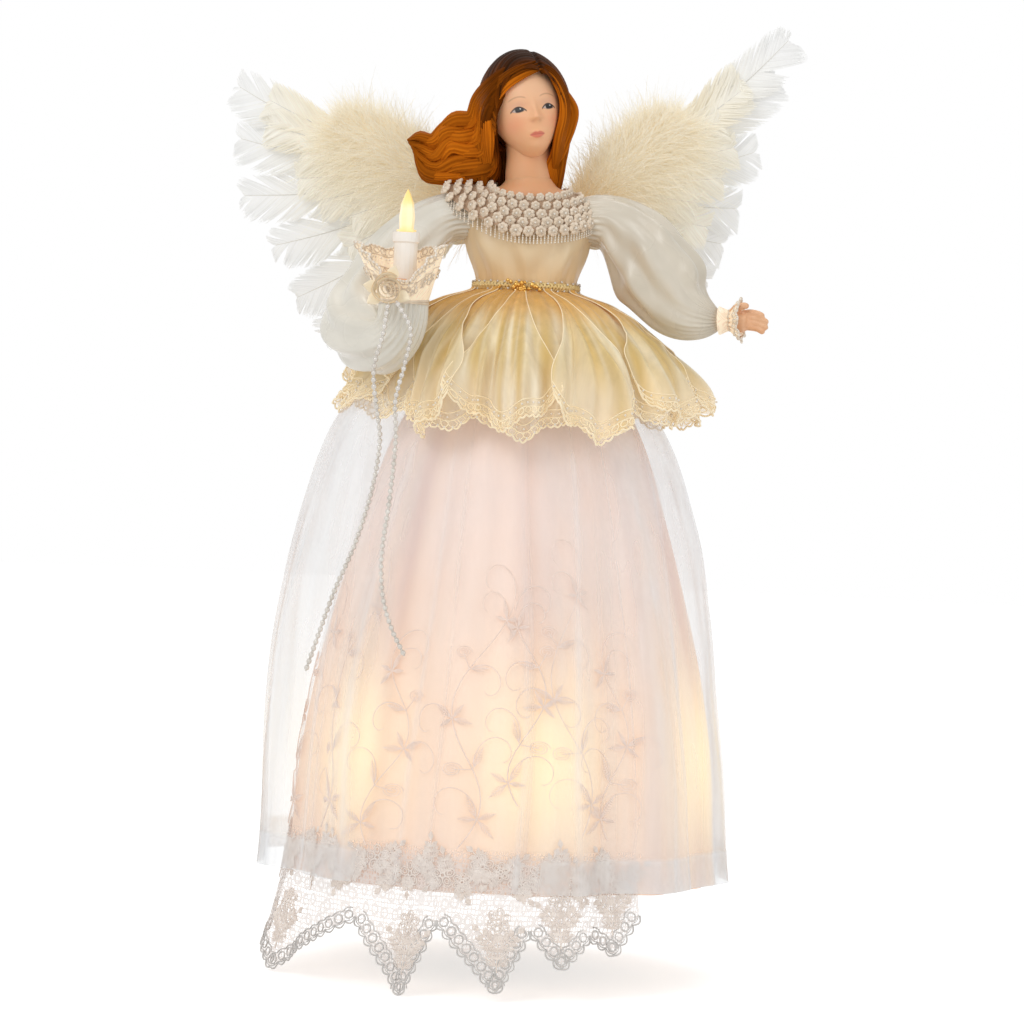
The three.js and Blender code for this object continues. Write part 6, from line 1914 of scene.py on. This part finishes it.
def marabou(name, side, arm):
    """Down along the wing's arm: a soft core and loose strands that stand off it"""
    down = Shape()
    core_u, core_v = np.meshgrid(np.linspace(0, TURN, 40, endpoint=False), np.linspace(0, 1, 40))
    swell = profile([[0, 0.35], [0.3, 0.85], [0.65, 1], [0.9, 0.7], [1, 0.2]])
    spine = spline([[out, -4.5, up] for out, up in arm], 40)
    along = unit(np.gradient(spine, axis=0))
    upward = np.stack([-along[:, 2], along[:, 1], along[:, 0]], 1)
    size = swell(core_v) * (1 + 0.12 * np.cos(4 * core_u + 11 * core_v))
    core = spine[:, None] + (10 * size * np.cos(core_u))[..., None] * upward[:, None]
    core[..., 1] = core[..., 1] + 3.6 * size * np.sin(core_u)
    gold, ivory, pale = dye(0.95, 0.82, 0.58), dye(0.955, 0.905, 0.795), dye(0.98, 0.96, 0.905)
    # Painted shade: the core turns deeper yellow towards the wing's root
    painted_warm_light_and_shade = ease((0.45 - core_v) / 0.45)[..., None] * 0.7
    down.grid(on_wing(side, core), True, ivory * (1 - painted_warm_light_and_shade) + gold * painted_warm_light_and_shade)
    count = 11000
    share = chance.uniform(0, 1, count)
    rows = np.clip((share * 39).astype(int), 0, 39)
    turn = chance.uniform(0, TURN, count)
    fat = swell(share)
    lifted = np.cos(turn)[:, None] * upward[rows]
    root = spine[rows] + (8 * fat * np.cos(turn))[:, None] * upward[rows]
    root[:, 1] = root[:, 1] + 3.2 * fat * np.sin(turn)
    below = np.maximum(-np.cos(turn), 0)
    way = lifted + 0.75 * along[rows]
    way[:, 1] = way[:, 1] + 0.45 * np.sin(turn) - 0.1
    way = unit(way + chance.normal(0, 0.35, (count, 3)))
    long = chance.uniform(5, 14, count) * (0.55 + 0.5 * fat) * (1 + 0.75 * below)
    step = np.linspace(0, 1, 7)[:, None]
    bend = chance.normal(0, 0.45, (count, 3)) + np.array([0.12, 0, -0.1])
    strand = root[:, None] + long[:, None, None] * (step * way[:, None] + 0.6 * step**2 * bend[:, None])
    outward = lifted + np.sin(turn)[:, None] * np.array([0, 1.0, 0])
    facing = unit(np.cross(way, outward + chance.normal(0, 0.3, (count, 3))))
    halves = 0.14 * (1 - 0.75 * step) * facing[:, None]
    # The strands take the same painted shade near the root
    root_shade = np.clip(0.85 - 2.1 * share, 0, 0.7)[:, None, None]
    tone = np.clip(step * 0.9 + chance.uniform(-0.2, 0.25, (count, 1, 1)), 0, 1)
    paint = (ivory * (1 - root_shade) + gold * root_shade) * (1 - tone) + (pale + (ivory - pale) * root_shade) * tone
    placed = on_wing(side, strand)
    down.strips(placed, on_wing(side, strand + halves) - placed, paint)
    made(f"{name}_marabou", down, DOWN, f"{name}_wing", [f"{name}_wing_down"])


for name, (side, tips, arm) in WINGS.items():
    line = spline([[out, 0, up] for out, up in arm], 101)
    flight_feathers(name, side, tips, line)
    covert_feathers(name, side, tips, line)
    marabou(name, side, arm)


# Pieces of the part that show as they are, each with its finish


def refinish():
    finishes = {
        "cone_body": WHITE_PLASTIC,
        "lamp_wire": WIRE_COVER,
        "lead_riser": WIRE_COVER,
        "candle_lead": WIRE_COVER,
        "torso_form": TORSO_PLASTIC,
        "candle_tube": CANDLE_PLASTIC,
        "candle_lamp": LAMP_LIT,
        "candle_hand": HAND_RESIN,
    }
    for name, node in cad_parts.items():
        if name.startswith("lamp_socket"):
            finish = WHITE_PLASTIC
        elif name.startswith("lamp_") and name != "lamp_wire":
            finish = SKIRT_LAMP_LIT
        elif name.endswith("_wing_card"):
            finish = WING_CARD
        elif name.endswith(("arm_wire", "wing_wire", "wing_stem")):
            finish = STEEL_WIRE
        else:
            finish = finishes.get(name)
        if finish:
            node.data.materials.clear()
            node.data.materials.append(finish)


refinish()
